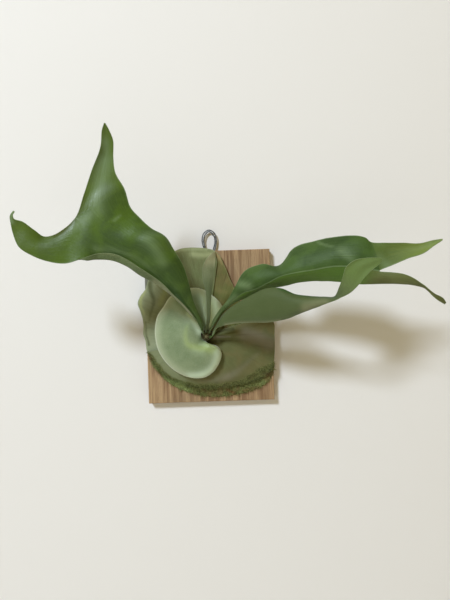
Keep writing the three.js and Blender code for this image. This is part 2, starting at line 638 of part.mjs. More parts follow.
// Small middle frond: a slim stipe that opens into one narrow spoon
const MIDDLE_FROND = {
  cells: 2,
  root: [[0, 0.42, 0.91], [1, 0, 0]],
  trunk: [
    [[205.8, 320, 51], 0, [207.8, 320, 51.6], 0, [209.8, 320, 51]],
    [[206.2, 305, 56], 0, [208.3, 305, 57], 0, [210.5, 305, 56]],
    [[205.9, 293, 60], 0, [208.8, 292.6, 61.5], 0, [211.6, 292.4, 60]],
    [[203.2, 281, 64], -0.5, [208.5, 280.5, 66.5], -0.5, [213.2, 280.2, 64]],
    [[202.2, 270, 69], -1, [208.7, 269.5, 70], -1, [214.7, 269, 68]],
    [[204.8, 261.5, 74], -1, [210, 260.5, 74], -1, [215.3, 259.5, 73]],
    [[209.5, 255, 78], 0, [212.2, 254.6, 78.5], 0, [215, 254.2, 78]],
    [[213.2, 251.6, 81], 0, [214, 251.4, 81], 0, [214.8, 251.2, 81]],
  ],
};

const fern = new THREE.Group();
fern.name = 'mounted_staghorn_fern';
fern.add(board(), hangingLoop(), strap());
fern.add(strapScrew('strap_screw_left', -1), strapScrew('strap_screw_right', 1));
fern.add(mossPad(), ...NAIL_PLACES.map((place, i) => mossNail(`moss_nail_${i + 1}`, place)));
fern.add(rhizome(), ...oldShields(), youngShield());
fern.add(frond('frond_left', COLOUR.frond, LEFT_FROND));
fern.add(frond('frond_right_upper', COLOUR.frond, RIGHT_UPPER_FROND));
fern.add(frond('frond_right_lower', COLOUR.paleFrond, RIGHT_LOWER_FROND));
fern.add(frond('frond_middle', COLOUR.smallFrond, MIDDLE_FROND));

export default fern;
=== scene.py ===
import math
import random

import bpy
import numpy as np
from mathutils import Matrix, Vector, noise


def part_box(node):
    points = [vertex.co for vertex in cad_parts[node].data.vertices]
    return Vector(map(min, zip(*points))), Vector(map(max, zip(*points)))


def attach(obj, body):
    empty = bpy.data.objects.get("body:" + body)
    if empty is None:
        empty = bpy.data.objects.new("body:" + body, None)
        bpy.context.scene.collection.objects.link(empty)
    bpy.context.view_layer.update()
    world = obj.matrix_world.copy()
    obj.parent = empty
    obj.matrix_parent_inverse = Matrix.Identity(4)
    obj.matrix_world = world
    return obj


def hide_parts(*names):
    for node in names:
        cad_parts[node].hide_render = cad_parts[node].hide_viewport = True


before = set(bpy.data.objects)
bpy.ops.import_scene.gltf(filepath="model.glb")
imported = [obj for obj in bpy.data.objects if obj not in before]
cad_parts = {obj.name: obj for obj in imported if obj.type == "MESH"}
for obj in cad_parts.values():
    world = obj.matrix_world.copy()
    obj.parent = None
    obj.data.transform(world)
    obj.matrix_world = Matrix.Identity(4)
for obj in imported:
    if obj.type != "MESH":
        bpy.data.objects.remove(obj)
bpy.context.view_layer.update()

# Mounted staghorn fern: the finished surfaces around the solids.
# Lengths are in millimetres up to the making of a mesh, which is in metres.
# The origin is the centre of the board's back face, and +Y points into the wall,
# so "out" is the distance from the wall, along -Y.
MM = 0.001
rng = random.Random(41)

# Sizes shared with the solids
BOARD_LOW, BOARD_HIGH = [np.array(corner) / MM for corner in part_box("board")]
BOARD_FACE = -BOARD_LOW[1]
BEVEL = 0.8
SEAT_GAP = 0.3
CROWN_X, CROWN_Z = -2.4, -9.4
HOLE_RADIUS = 6.9
ROOT_RADIUS, ROOT_OUT = 6.5, 31
BUD_RADIUS, BUD_OUT = 4.2, 38
NECK_RADIUS, NECK_OUT = BUD_RADIUS + 0.8, 35
STIPE_WIDTH, STIPE_THICK = 2.4, 3
MOUND = dict(x=-3, z=-12, half_width=80, half_height=78, foot=13, rise=12, fall=1.5)
OLD_LEVEL, UPPER_LEVEL, YOUNG_LEVEL = 2.4, 5.4, 8.4
LOOP_X, LOOP_OUT, LOOP_TOP, WIRE, STRAND_GAP = 3.3, 4, 115.8, 1.4, 1.75
POCKET_WIDTH, POCKET_BOTTOM, POCKET_DEPTH = 28, 64, 5
SCREW_Z, SCREW_SPAN, SCREW_SHANK, SCREW_TIP, SCREW_CLEAR = 79, 18, 1.2, 9.5, 0.3
NAIL_CLEAR_RADIUS, NAIL_CLEAR_DEPTH = 1.2, 3.7
NAIL_PLACES = [(40, -28), (-22, -52), (-24, 42)]

# Sheets are thinner here than the solids, which have to stay sound
OLD_THICK, YOUNG_THICK = 0.7, 1.1
BLADE_MIDDLE, BLADE_MARGIN = 1.1, 0.55

# The photograph's eye and size in pixels. Its outlines are read off as u across and v down.
EYE_X, EYE_OUT, EYE_Z = 19.9, 550, 30.6
FOCAL_PIXELS = 451
PICTURE_WIDTH, PICTURE_HEIGHT = 450, 600
ROLL = math.radians(1.95)


# Basic helpers

def seen(u, v, out):
    """The point that shows at pixel u, v and lies that far out from the wall."""
    across, up = u - PICTURE_WIDTH / 2, PICTURE_HEIGHT / 2 - v
    scale = (EYE_OUT - out) / FOCAL_PIXELS
    right = across * math.cos(ROLL) + up * math.sin(ROLL)
    rise = up * math.cos(ROLL) - across * math.sin(ROLL)
    return np.array([EYE_X + right * scale, -out, EYE_Z + rise * scale])


def smooth(start, end, value):
    part = np.clip((value - start) / (end - start), 0, 1)
    return part * part * (3 - 2 * part)


def hump(value, middle, width):
    return np.exp(-((value - middle) / width) ** 2)


def unit(vectors):
    return vectors / np.maximum(np.linalg.norm(vectors, axis=-1, keepdims=True), 1e-9)


def layer(x, out, z):
    return np.stack(np.broadcast_arrays(x, -out, z), -1)


def around(sides):
    """Even angles round a circle."""
    return np.arange(sides) * 2 * math.pi / sides


def spline(points, steps, closed=False):
    """A centripetal Catmull-Rom curve through the points, with this many steps a span."""
    points = np.asarray(points, float)
    if closed:
        padded = np.vstack([points[-1:], points, points[:2]])
    else:
        padded = np.vstack([2 * points[0] - points[1], points, 2 * points[-1] - points[-2]])
    weight = (np.arange(steps) / steps)[:, None]
    spans = []
    for p0, p1, p2, p3 in zip(padded, padded[1:], padded[2:], padded[3:]):
        d0, d1, d2 = [max(np.linalg.norm(b - a), 1e-6) ** 0.5 for a, b in ((p0, p1), (p1, p2), (p2, p3))]
        leave = ((p1 - p0) / d0 - (p2 - p0) / (d0 + d1) + (p2 - p1) / d1) * d1
        arrive = ((p2 - p1) / d1 - (p3 - p1) / (d1 + d2) + (p3 - p2) / d2) * d1
        bend = 3 * (p2 - p1) - 2 * leave - arrive
        turn = 2 * (p1 - p2) + leave + arrive
        spans.append(p1 + leave * weight + bend * weight ** 2 + turn * weight ** 3)
    if not closed:
        spans.append(points[-1:])
    return np.vstack(spans)


def wander(points, size, seed, octaves=2):
    """Smooth seeded noise from -1 to 1 at each point, with lumps of about this size."""
    places = (points / size + np.array([17.3, 5.1, 9.7]) * seed).reshape(-1, 3)
    values = [noise.fractal(place, 0.8, 2, octaves, noise_basis="PERLIN_ORIGINAL") for place in places]
    return np.reshape(values, points.shape[:-1])


def near_curve(points, curve, width, taper=0, strength=1):
    """The strength on the curve, falling softly to 0 with the distance in the plane of the board.
    The taper is how much of its width and strength the curve has lost at its end."""
    near = np.zeros(points.shape[:-1])
    line = spline([seen(*point) for point in curve], 8)
    for (x, _, z), part in zip(line, np.linspace(1, 1 - taper, len(line))):
        away = np.hypot(points[..., 0] - x, points[..., 2] - z)
        near = np.maximum(near, part * hump(away, 0, width * part))
    return strength * near


def near_curves(points, marks):
    """How near a point is to any of the marks, each a curve, its width, taper and strength."""
    near = np.zeros(points.shape[:-1])
    for mark in marks:
        near = np.maximum(near, near_curve(points, *mark))
    return near


# Meshes

def quads_of(index):
    """Quads between the neighbours in a table of point numbers."""
    return np.stack([index[:-1, :-1], index[:-1, 1:], index[1:, 1:], index[1:, :-1]], -1).reshape(-1, 4)


def grid_quads(rows, columns, closed=False):
    index = np.arange(rows * columns).reshape(rows, columns)
    return quads_of(np.vstack([index, index[:1]]) if closed else index)


def tube_faces(rings, sides):
    """Quads between closed rings of points, and a face over each end."""
    index = np.arange(rings * sides).reshape(rings, sides)
    quads = quads_of(np.hstack([index, index[:, :1]])).tolist()
    return quads + [index[0, ::-1].tolist(), index[-1].tolist()]


def point_normals(points, quads):
    corner = points[quads]
    face = np.cross(corner[:, 2] - corner[:, 0], corner[:, 3] - corner[:, 1])
    normals = np.zeros_like(points)
    for i in range(4):
        np.add.at(normals, quads[:, i], face)
    return unit(normals)


def new_object(name, data):
    made = bpy.data.objects.new(name, data)
    bpy.context.scene.collection.objects.link(made)
    return made


def new_mesh(name, points, faces, materials=()):
    """A mesh in metres from points in millimetres."""
    mesh = bpy.data.meshes.new(name)
    mesh.from_pydata((np.asarray(points) * MM).tolist(), [], [list(face) for face in faces])
    for material in materials:
        mesh.materials.append(material)
    return mesh


def make_piece(name, points, faces, replaced=(), slot=None, materials=(), values=None, kinds=None):
    """A piece of the scene, riding on the part's one body."""
    mesh = new_mesh(name, points, faces, materials)
    for key, numbers in (values or {}).items():
        attribute = mesh.attributes.new(key, "FLOAT", "POINT")
        attribute.data.foreach_set("value", np.asarray(numbers, np.float32))
    if kinds is not None:
        mesh.polygons.foreach_set("material_index", np.asarray(kinds, np.int32))
    mesh.shade_smooth()
    mesh.validate()
    piece = new_object(name, mesh)
    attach(piece, "root")
    if replaced:
        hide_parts(*replaced)
    return piece


def slab(name, front, back, quads, values, round_out=0.15, **options):
    """A thin closed body between a front and a back layer, with a rounded rim."""
    count = len(front)
    directed = dict.fromkeys((a, b) for quad in quads.tolist() for a, b in zip(quad, quad[1:] + quad[:1]))
    rim_edges = [(a, b) for a, b in directed if (b, a) not in directed]
    rim_points = sorted({a for a, b in rim_edges})
    place = {point: 2 * count + i for i, point in enumerate(rim_points)}
    normals = point_normals(front, quads)
    outward = np.zeros_like(front)
    for a, b in rim_edges:
        away = unit(np.cross(front[b] - front[a], normals[a]))
        outward[a] += away
        outward[b] += away
    middle = (front[rim_points] + back[rim_points]) / 2 + round_out * unit(outward[rim_points])
    faces = quads.tolist() + (quads[:, ::-1] + count).tolist()
    for a, b in rim_edges:
        faces.append([b, a, place[a], place[b]])
        faces.append([place[b], place[a], a + count, b + count])
    kinds = [0] * len(quads) + [1] * len(quads) + [2] * 2 * len(rim_edges)
    values = {key: np.ravel(numbers) for key, numbers in values.items()}
    values = {key: np.concatenate([v, v, v[rim_points]]) for key, v in values.items()}
    points = np.vstack([front, back, middle])
    mesh = make_piece(name, points, faces, values=values, kinds=kinds, **options).data
    sharp = {frozenset((a + side, b + side)) for a, b in rim_edges for side in (0, count)}
    attribute = mesh.attributes.get("sharp_edge") or mesh.attributes.new("sharp_edge", "BOOLEAN", "EDGE")
    attribute.data.foreach_set("value", [frozenset(edge.vertices) in sharp for edge in mesh.edges])


def sheet(name, x, z, out, back_out, values, closed=False, round_out=0.15, **options):
    """A slab between two layers over the same grid of places. It returns the front layer's points."""
    front, back = layer(x, out, z), layer(x, back_out, z)
    quads = grid_quads(*x.shape, closed)
    slab(name, front.reshape(-1, 3), back.reshape(-1, 3), quads, values, round_out, **options)
    return front


# Colours and materials

def colour(red, green, blue):
    """A display colour, 0 to 255, as the shader's linear numbers."""
    channels = [channel / 255 for channel in (red, green, blue)]
    return [c / 12.92 if c <= 0.04045 else ((c + 0.055) / 1.055) ** 2.4 for c in channels] + [1]


class Surface:
    """A material that starts with a ground colour, and short ways to lay other colours over it.
    A tuple is a display colour."""

    def __init__(self, name, ground, roughness, gloss=0.5, sheen=0.0, metallic=0.0):
        self.material = bpy.data.materials.new(name)
        self.material.use_nodes = True
        self.tree = self.material.node_tree
        self.shader = self.tree.nodes["Principled BSDF"]
        self.shade = ground
        self.put(self.shader, {
            "Roughness": roughness, "Specular IOR Level": gloss, "Sheen Weight": sheen, "Metallic": metallic,
        })

    def put(self, node, inputs):
        for key, value in inputs.items():
            if isinstance(value, bpy.types.NodeSocket):
                self.tree.links.new(value, node.inputs[key])
            else:
                node.inputs[key].default_value = colour(*value) if isinstance(value, tuple) else value
        return node

    def add(self, kind, inputs=None, **settings):
        node = self.tree.nodes.new("ShaderNode" + kind)
        for key, value in settings.items():
            setattr(node, key, value)
        return self.put(node, inputs or {})

    def values(self, *names):
        """Sockets of the numbers stored on the mesh under these names."""
        return [self.add("Attribute", attribute_name=name).outputs["Fac"] for name in names]

    def place(self):
        return self.add("TexCoord").outputs["Object"]

    def math(self, operation, first, second=0.0):
        return self.add("Math", {0: first, 1: second}, operation=operation).outputs[0]

    def times(self, first, second):
        return self.math("MULTIPLY", first, second)

    def spread(self, source, low, high, to_low=0.0, to_high=1.0):
        """The source's range low to high mapped on to_low to to_high, held at the ends."""
        inputs = {"Value": source, "From Min": low, "From Max": high, "To Min": to_low, "To Max": to_high}
        return self.add("MapRange", inputs, interpolation_type="SMOOTHSTEP").outputs[0]

    def vector(self, x, y, z=0.0):
        return self.add("CombineXYZ", {0: x, 1: y, 2: z}).outputs[0]

    def noise(self, scale, detail=3.0, vector=None, roughness=0.5, distortion=0.0):
        inputs = {
            "Vector": vector or self.place(), "Scale": scale, "Detail": detail,
            "Roughness": roughness, "Distortion": distortion,
        }
        return self.add("TexNoise", inputs).outputs["Fac"]

    def streaks(self, across, across_scale, along, along_scale, scale, detail, roughness=0.5):
        """Noise drawn out along a leaf."""
        run = self.vector(self.times(across, across_scale), self.times(along, along_scale))
        return self.noise(scale, detail, run, roughness)

    def cover(self, paint, amount):
        self.shade = self.add("Mix", {0: amount, 6: self.shade, 7: paint}, data_type="RGBA").outputs[2]

    def lay(self, paint, source, low=0.0, high=1.0, share=1.0):
        """Covers with the paint, not at all where the source is low and by the share where it is high."""
        self.cover(paint, self.spread(source, low, high, 0, share))

    def finish(self, reliefs=(), inputs=None):
        """Sets the colour, the bumps and other inputs. A relief is a height, its depth and strength."""
        bumps = {}
        for height, depth, strength in reliefs:
            bump = self.add("Bump", {"Height": height, "Distance": depth * MM, "Strength": strength, **bumps})
            bumps = {"Normal": bump.outputs["Normal"]}
        self.put(self.shader, {"Base Color": self.shade, **bumps, **(inputs or {})})
        return self.material


def leaf_surface(
    name, deep, bright, tip, scurf, roughness, scurf_share, tip_from=0.62, gloss=0.5, fold_highlight=0.0,
    stipe=None, lower=None, droop=None,
):
    """A leathery leaf face: lengthwise veins, patches of two greens and a thin pale scurf.
    Painted highlights, and lighter paint over shade, are laid in the scurf colour on the marked places.
    Where the margin curls up, it is darker and dull. A crest above 0 is how pale the painted highlight
    along a ridged leaf's fold is. The half past the fold may be painted lighter, as painted light on that
    downturned half in shade, and that half's lobe may have a colour of its own."""
    surface = Surface(name, deep, roughness)
    along, lane, edge, painted_light, curl = surface.values("along", "lane", "edge", "painted_light", "curl")
    patches = surface.noise(38, 3, distortion=0.4)
    veins = surface.streaks(lane, 16, along, 5, 1.6, 4, 0.6)
    surface.lay(bright, patches, 0.36, 0.66)
    surface.lay(tip, along, tip_from, 1.0, 0.85)
    # Painted light on the half past the fold, which faces down into shade
    if lower:
        surface.lay(lower, lane, -0.02, 0.1, 0.8)
    if droop:
        lobe = surface.times(surface.spread(along, 0.57, 0.69, 0, 0.85), surface.spread(lane, -0.02, 0.04))
        surface.cover(droop, lobe)
    if stipe:
        surface.lay(stipe, along, 0.26, 0.1, 0.9)
    surface.lay(bright, veins, 0.42, 0.7, 0.35)
    surface.lay(scurf, surface.noise(1500, 2), 0.5, 0.72, scurf_share)
    # Painted highlights and painted light over shade, in the scurf colour
    surface.cover(scurf, surface.times(painted_light, surface.spread(veins, 0.3, 0.6, 0.4, 0.65)))
    surface.cover((66, 72, 24), curl)
    surface.lay(scurf, edge, 0.05, 0.0, 0.5)
    # Painted highlight along the fold's crest
    if fold_highlight:
        surface.lay(scurf, surface.math("ABSOLUTE", lane), 0.05, 0.0, fold_highlight)
    dull = surface.spread(patches, 0.35, 0.7, roughness + 0.08, roughness - 0.05)
    shine = surface.spread(curl, 0, 1, gloss, 0.1)
    reliefs = [(veins, 0.35, 1), (surface.noise(420, 3), 0.12, 1)]
    return surface.finish(reliefs, {"Roughness": dull, "Specular IOR Level": shine})


def felt_surface(name, ground, pale, roughness=0.85, share=0.45, tip=None, stipe=None):
    """A felted underside: a close coat of tiny pale hairs over green, with soft veins.
    Where the margin curls over, the greener upper face shows."""
    surface = Surface(name, ground, roughness, gloss=0.25, sheen=0.15)
    along, lane, painted_light, curl = surface.values("along", "lane", "painted_light", "curl")
    veins = surface.streaks(lane, 12, along, 4, 1.5, 3)
    speck = surface.noise(1900, 2)
    hairs = surface.spread(speck, 0.35, 0.7, 0, share)
    surface.cover(pale, surface.math("ADD", hairs, surface.spread(surface.noise(60, 2), 0.3, 0.7, 0, 0.3)))
    surface.lay(pale, veins, 0.5, 0.75, 0.3)
    if tip:
        surface.lay(tip, along, 0.66, 0.82, 0.8)
    if stipe:
        surface.lay(stipe, along, 0.72, 0.45, 0.75)
    # Painted light: lighter paint on the marked places
    surface.cover((150, 148, 112), painted_light)
    surface.cover((50, 80, 30), curl)
    return surface.finish([(veins, 0.3, 1), (speck, 0.12, 0.7)])


def plain_felt(name, pale):
    surface = Surface(name, pale, 0.9, sheen=0.15)
    dark = [channel * 0.72 for channel in colour(*pale)[:3]] + [1]
    surface.lay(dark, surface.noise(1200, 2), 0.7, 0.3)
    return surface.finish()


def papery_surface(
    name, green, brown, grey, dark, light, brown_share, streak_share, rim_share=0.5, start=None,
):
    """A drying shield frond: papery, streaked from the crown outwards, browner in patches.
    Its dark and light marks follow named curves: painted shade in its creases and grooves, and painted light,
    mostly highlights and lighter paint where fronds shade it. Moss grows over it past the moss line."""
    surface = Surface(name, green, 0.82, gloss=0.3)
    reach, turn, crease_shade, lit, mossy = surface.values("reach", "turn", "crease_shade", "light", "mossy")
    streaks = surface.streaks(turn, 30, reach, 2.4, 1.7, 5, 0.62)
    pores = surface.noise(900, 3)
    surface.lay(brown, surface.noise(42, 4, distortion=0.6), 0.4, 0.62, brown_share)
    if start:
        surface.lay(start, turn, 0.42, 0.22, 0.9)
    surface.lay(grey, streaks, 0.45, 0.75, streak_share)
    surface.lay(dark, streaks, 0.5, 0.25, streak_share)
    # Painted light on the light marks: highlights on folds and rims, and lighter paint where fronds shade the
    # sheet
    surface.lay(light, lit, share=0.8)
    # Painted shade in the rib valleys and the grooves
    surface.lay(dark, crease_shade, share=0.8)
    surface.lay(grey, pores, 0.52, 0.75, 0.18)
    surface.lay(grey, reach, 0.965, 1.0, rim_share)
    paper, surface.shade = surface.shade, MOSS_DEEP
    surface.lay(MOSS_BRIGHT, surface.noise(700, 3), 0.35, 0.65)
    moss, surface.shade = surface.shade, paper
    surface.cover(moss, mossy)
    return surface.finish([(streaks, streak_share, 1), (pores, 0.15, 0.8)])


def young_surface():
    """The young shield: bluish green under a pale felt, yellower on its ridge, pale at the rim.
    Painted light lies on its fan, the fan's stripe and its marks, and painted shade by the crown.
    """
    surface = Surface("young_shield_felt", (109, 126, 88), 0.72, gloss=0.3, sheen=0.2)
    reach, turn, ridge, crease_shade, pale = surface.values("reach", "turn", "ridge", "crease_shade", "pale")
    fan_painted_light, stripe_painted_light = surface.values("fan_painted_light", "stripe_painted_light")
    veins = surface.streaks(turn, 46, reach, 2, 1.8, 3)
    speck = surface.noise(1600, 2)
    surface.lay((124, 139, 101), surface.noise(45, 3), 0.35, 0.65)
    # The ridge is yellower, and lighter too as a painted highlight
    surface.lay((152, 170, 98), ridge, share=0.75)
    surface.lay((104, 130, 100), turn, 0.4, 0.3, 0.6)
    # Painted light on the fan and its stripe, which lie in the left frond's shadow
    surface.cover((206, 226, 186), fan_painted_light)
    surface.cover((204, 236, 222), stripe_painted_light)
    surface.lay((160, 172, 138), veins, 0.45, 0.7, 0.06)
    surface.lay((168, 177, 144), reach, 0.76, 1.0, 0.8)
    # Painted light on the marked places
    surface.cover((200, 220, 190), pale)
    surface.lay((212, 220, 190), reach, 0.955, 0.99, 0.5)
    # Painted shade in the crevice beside the crown
    surface.lay((58, 62, 34), crease_shade, share=0.25)
    surface.lay((186, 194, 170), speck, 0.45, 0.75, 0.25)
    return surface.finish([(veins, 0.06, 1), (speck, 0.1, 0.8)])


def cedar_surface():
    """Sawn cedar: upright grain in tan and red-brown, thin dark lines and short pores.
    It is greyer along its left edge, from the middle height up."""
    surface = Surface("cedar", (129, 100, 70), 0.72, gloss=0.3)
    x, y, z = surface.add("SeparateXYZ", {0: surface.place()}).outputs

    def grain(scale, detail, stretch, roughness=0.5):
        return surface.noise(scale, detail, surface.vector(x, y, surface.times(z, stretch)), roughness)

    bands, lines, pores = grain(150, 3, 0.05, 0.6), grain(520, 4, 0.03, 0.65), grain(1500, 3, 0.09)
    surface.lay((176, 147, 110), bands, 0.38, 0.62)
    surface.lay((116, 86, 60), lines, 0.48, 0.68, 0.6)
    surface.lay((98, 70, 50), pores, 0.58, 0.72, 0.5)
    surface.lay((140, 122, 92), surface.noise(16, 3), 0.45, 0.7, 0.35)
    edge = BOARD_LOW[0] * MM
    near_edge = surface.spread(x, edge + 10 * MM, edge + 3 * MM)
    surface.cover((112, 114, 98), surface.times(near_edge, surface.spread(z, 0.0, 30 * MM)))
    return surface.finish([(lines, 0.5, 1), (pores, 0.2, 0.8)])


def metal_surface(name, base, dark, roughness, metallic=1.0):
    """Galvanised or nickelled steel with a faint blotchy skin."""
    surface = Surface(name, dark, roughness, metallic=metallic)
    blotch = surface.noise(260, 4)
    surface.lay(base, blotch, 0.35, 0.7)
    rough = surface.spread(blotch, 0.3, 0.7, roughness + 0.12, roughness - 0.05)
    return surface.finish([(surface.noise(1600, 2), 0.03, 1)], {"Roughness": rough})


def moss_surface(name, deep, bright, dry):
    surface = Surface(name, deep, 0.95, gloss=0.15)
    fine = surface.noise(700, 3)
    dried, moss_painted_light = surface.values("dry", "moss_painted_light")
    surface.lay(bright, fine, 0.35, 0.65)
    surface.lay(dry, surface.noise(110, 3), 0.5, 0.68, 0.7)
    # Painted light on the moss's lit places
    surface.cover((152, 169, 106), moss_painted_light)
    surface.cover((112, 80, 48), dried)
    return surface.finish([(fine, 0.8, 1)])


def scale_surface():
    """The bud's papery brown scales."""
    surface = Surface("bud_scales", (76, 72, 44), 0.8, gloss=0.3)
    fine = surface.noise(900, 3)
    surface.lay((116, 110, 76), fine, 0.35, 0.65)
    return surface.finish([(fine, 0.2, 1)])


MOSS_DEEP, MOSS_BRIGHT, MOSS_DRY = (80, 84, 44), (118, 122, 72), (108, 94, 58)
FROND_TOP = leaf_surface(
    "frond_top", (48, 74, 12), (72, 100, 24), (86, 105, 28), (122, 144, 104),
    roughness=0.42, scurf_share=0.08, tip_from=0.46, gloss=0.42,
)
# Its lower colour is painted light on the downturned half, and its crest a painted highlight on its fold
RIDGED_TOP = leaf_surface(
    "ridged_frond_top", (44, 68, 18), (64, 90, 32), (130, 144, 66), (124, 146, 100),
    roughness=0.52, scurf_share=0.06, gloss=0.28, fold_highlight=0.55,
    stipe=(74, 88, 50), lower=(84, 116, 36), droop=(99, 100, 57),
)
FROND_UNDER = felt_surface("frond_underside", (72, 88, 48), (112, 128, 86))
PALE_TOP = leaf_surface(
    "right_frond_top", (66, 88, 34), (86, 108, 50), (92, 112, 50), (128, 146, 112),
    roughness=0.46, scurf_share=0.25,
)
PALE_UNDER = felt_surface(
    "right_frond_underside", (72, 86, 42), (108, 118, 78), roughness=0.62, share=0.3,
    tip=(98, 120, 57), stipe=(70, 84, 42),
)
# Its pale tip is partly painted light over shade
SMALL_UNDER = felt_surface(
    "middle_frond_felt", (100, 110, 72), (146, 152, 116), roughness=0.8, share=0.4,
    tip=(176, 176, 138), stipe=(76, 90, 54),
)
MARGIN = plain_felt("frond_margin", (134, 148, 104))
YOUNG_FELT = young_surface()
YOUNG_RIM_FELT = plain_felt("young_shield_rim", (176, 186, 156))
PAPER_GREY = papery_surface(
    "old_shield_left_paper", (140, 149, 117), (138, 139, 109), (166, 174, 140), (74, 80, 42),
    (172, 180, 116), brown_share=0.4, streak_share=0.2,
)
PAPER_OLIVE = papery_surface(
    "old_shield_upper_right_paper", (98, 102, 52), (120, 108, 64), (130, 130, 88), (74, 66, 36),
    (176, 150, 104), brown_share=0.7, streak_share=0.16,
)
PAPER_GREEN = papery_surface(
    "old_shield_upper_left_paper", (105, 115, 72), (111, 109, 72), (160, 168, 128), (88, 92, 56),
    (176, 184, 136), brown_share=0.5, streak_share=0.18,
)
PAPER_BROWN = papery_surface(
    "old_shield_lower_paper", (96, 100, 60), (110, 102, 62), (118, 118, 88), (54, 54, 26),
    (138, 133, 118), brown_share=0.6, streak_share=0.12, rim_share=0.0, start=(124, 132, 96),
)
PAPER_RIM = plain_felt("old_shield_rim", (132, 138, 104))
CEDAR = cedar_surface()
WIRE_STEEL = metal_surface("galvanised_wire", (104, 110, 114), (62, 68, 72), roughness=0.55, metallic=0.4)
STRAP_STEEL = metal_surface("strap_steel", (176, 178, 176), (140, 142, 142), roughness=0.34)
SCREW_STEEL = metal_surface("screw_steel", (150, 150, 146), (104, 104, 102), roughness=0.3)
NAIL_STEEL = metal_surface("nail_steel", (120, 118, 112), (84, 80, 74), roughness=0.5)
MOSS = moss_surface("moss", MOSS_DEEP, MOSS_BRIGHT, MOSS_DRY)
MOSS_STRANDS = moss_surface("moss_strands", (106, 114, 62), (156, 162, 100), (138, 120, 78))
MOSS_TUFTS = moss_surface("moss_tufts", (90, 97, 52), (134, 138, 84), (118, 103, 66))
SCALES = scale_surface()


# Board

def board():
    """Sawn plank with eased edges, a fine grain relief and the pocket for the loop's legs."""
    half_width, _, half_height = (BOARD_HIGH - BOARD_LOW) / 2
    columns, rows = 300, 60
    lines_x = np.linspace(BEVEL - half_width, half_width - BEVEL, columns)
    lines_z = np.linspace(BEVEL - half_height, half_height - BEVEL, rows)
    z, x = np.meshgrid(lines_z, lines_x, indexing="ij")
    flat = layer(x, 0, z * 0.03)
    broad = 0.12 * (1 + wander(flat, 9, seed=5, octaves=1))
    fine = 0.22 * np.clip(wander(flat, 2.2, seed=3, octaves=3), -0.2, 1)
    deepest = 0.5
    points = layer(x, BOARD_FACE - np.clip(broad + fine, 0, deepest), z).reshape(-1, 3)
    faces = grid_quads(rows, columns).tolist()
    index = np.arange(rows * columns).reshape(rows, columns)
    border = np.concatenate([index[0, :-1], index[:-1, -1], index[-1, :0:-1], index[:0:-1, 0]]).tolist()
    edge, last = points[border], border
    for inset, back in ((0, BEVEL), (0, BOARD_FACE - BEVEL), (BEVEL, BOARD_FACE)):
        ring = edge.copy()
        for axis, half in ((0, half_width), (2, half_height)):
            at_edge = np.abs(ring[:, axis]) > half - BEVEL - 1e-6
            ring[at_edge, axis] = np.sign(ring[at_edge, axis]) * (half - inset)
        ring[:, 1] = back - BOARD_FACE
        new = list(range(len(points), len(points) + len(ring)))
        faces += quads_of(np.array([new + new[:1], last + last[:1]])).tolist()
        points = np.vstack([points, ring])
        last = new
    faces.append(last[::-1])
    cut_board(make_piece("cedar_board", points, faces, ["board"], "cedar", [CEDAR]))


def cutter(low, high, sides=4):
    """A box, or with more sides a round bar, that a boolean takes away; it is not kept."""
    low, high = np.array(low, float), np.array(high, float)
    centre, half = (low + high) / 2, (high - low) / 2
    corners = np.array([(-1, -1), (1, -1), (1, 1), (-1, 1)])
    if sides > 4:
        corners = np.stack([np.cos(around(sides)), np.sin(around(sides))], 1)
    x, z = centre[0] + half[0] * corners[:, 0], centre[2] + half[2] * corners[:, 1]
    points = np.vstack([layer(x, -low[1], z), layer(x, -high[1], z)])
    return new_object("cutter", new_mesh("cutter", points, [face[::-1] for face in tube_faces(2, sides)]))


def cut_board(piece):
    """Takes the pocket, the screws' holes and the nails' holes out of the board."""
    half, beyond = POCKET_WIDTH / 2, 5
    pocket_high = (LOOP_X + half, beyond, BOARD_HIGH[2] + beyond)
    tools = [cutter((LOOP_X - half, -POCKET_DEPTH, POCKET_BOTTOM), pocket_high)]
    screws = [(LOOP_X + side * SCREW_SPAN / 2, SCREW_Z) for side in (-1, 1)]
    holes = [
        (screws, SCREW_SHANK + SCREW_CLEAR, -SCREW_TIP - SCREW_CLEAR, beyond),
        (NAIL_PLACES, NAIL_CLEAR_RADIUS, -BOARD_FACE - 1, -NAIL_CLEAR_DEPTH),
    ]
    for places, radius, low, high in holes:
        for x, z in places:
            tools.append(cutter((x - radius, low, z - radius), (x + radius, high, z + radius), 16))
    for tool in tools:
        cut = piece.modifiers.new("cut", "BOOLEAN")
        cut.operation = "DIFFERENCE"
        cut.solver = "EXACT"
        cut.object = tool
    graph = bpy.context.evaluated_depsgraph_get()
    finished, old = bpy.data.meshes.new_from_object(piece.evaluated_get(graph)), piece.data
    piece.modifiers.clear()
    piece.data = finished
    bpy.data.meshes.remove(old)
    for tool in tools:
        bpy.data.objects.remove(tool)
    finished.set_sharp_from_angle(angle=math.radians(32))


# Wire loop

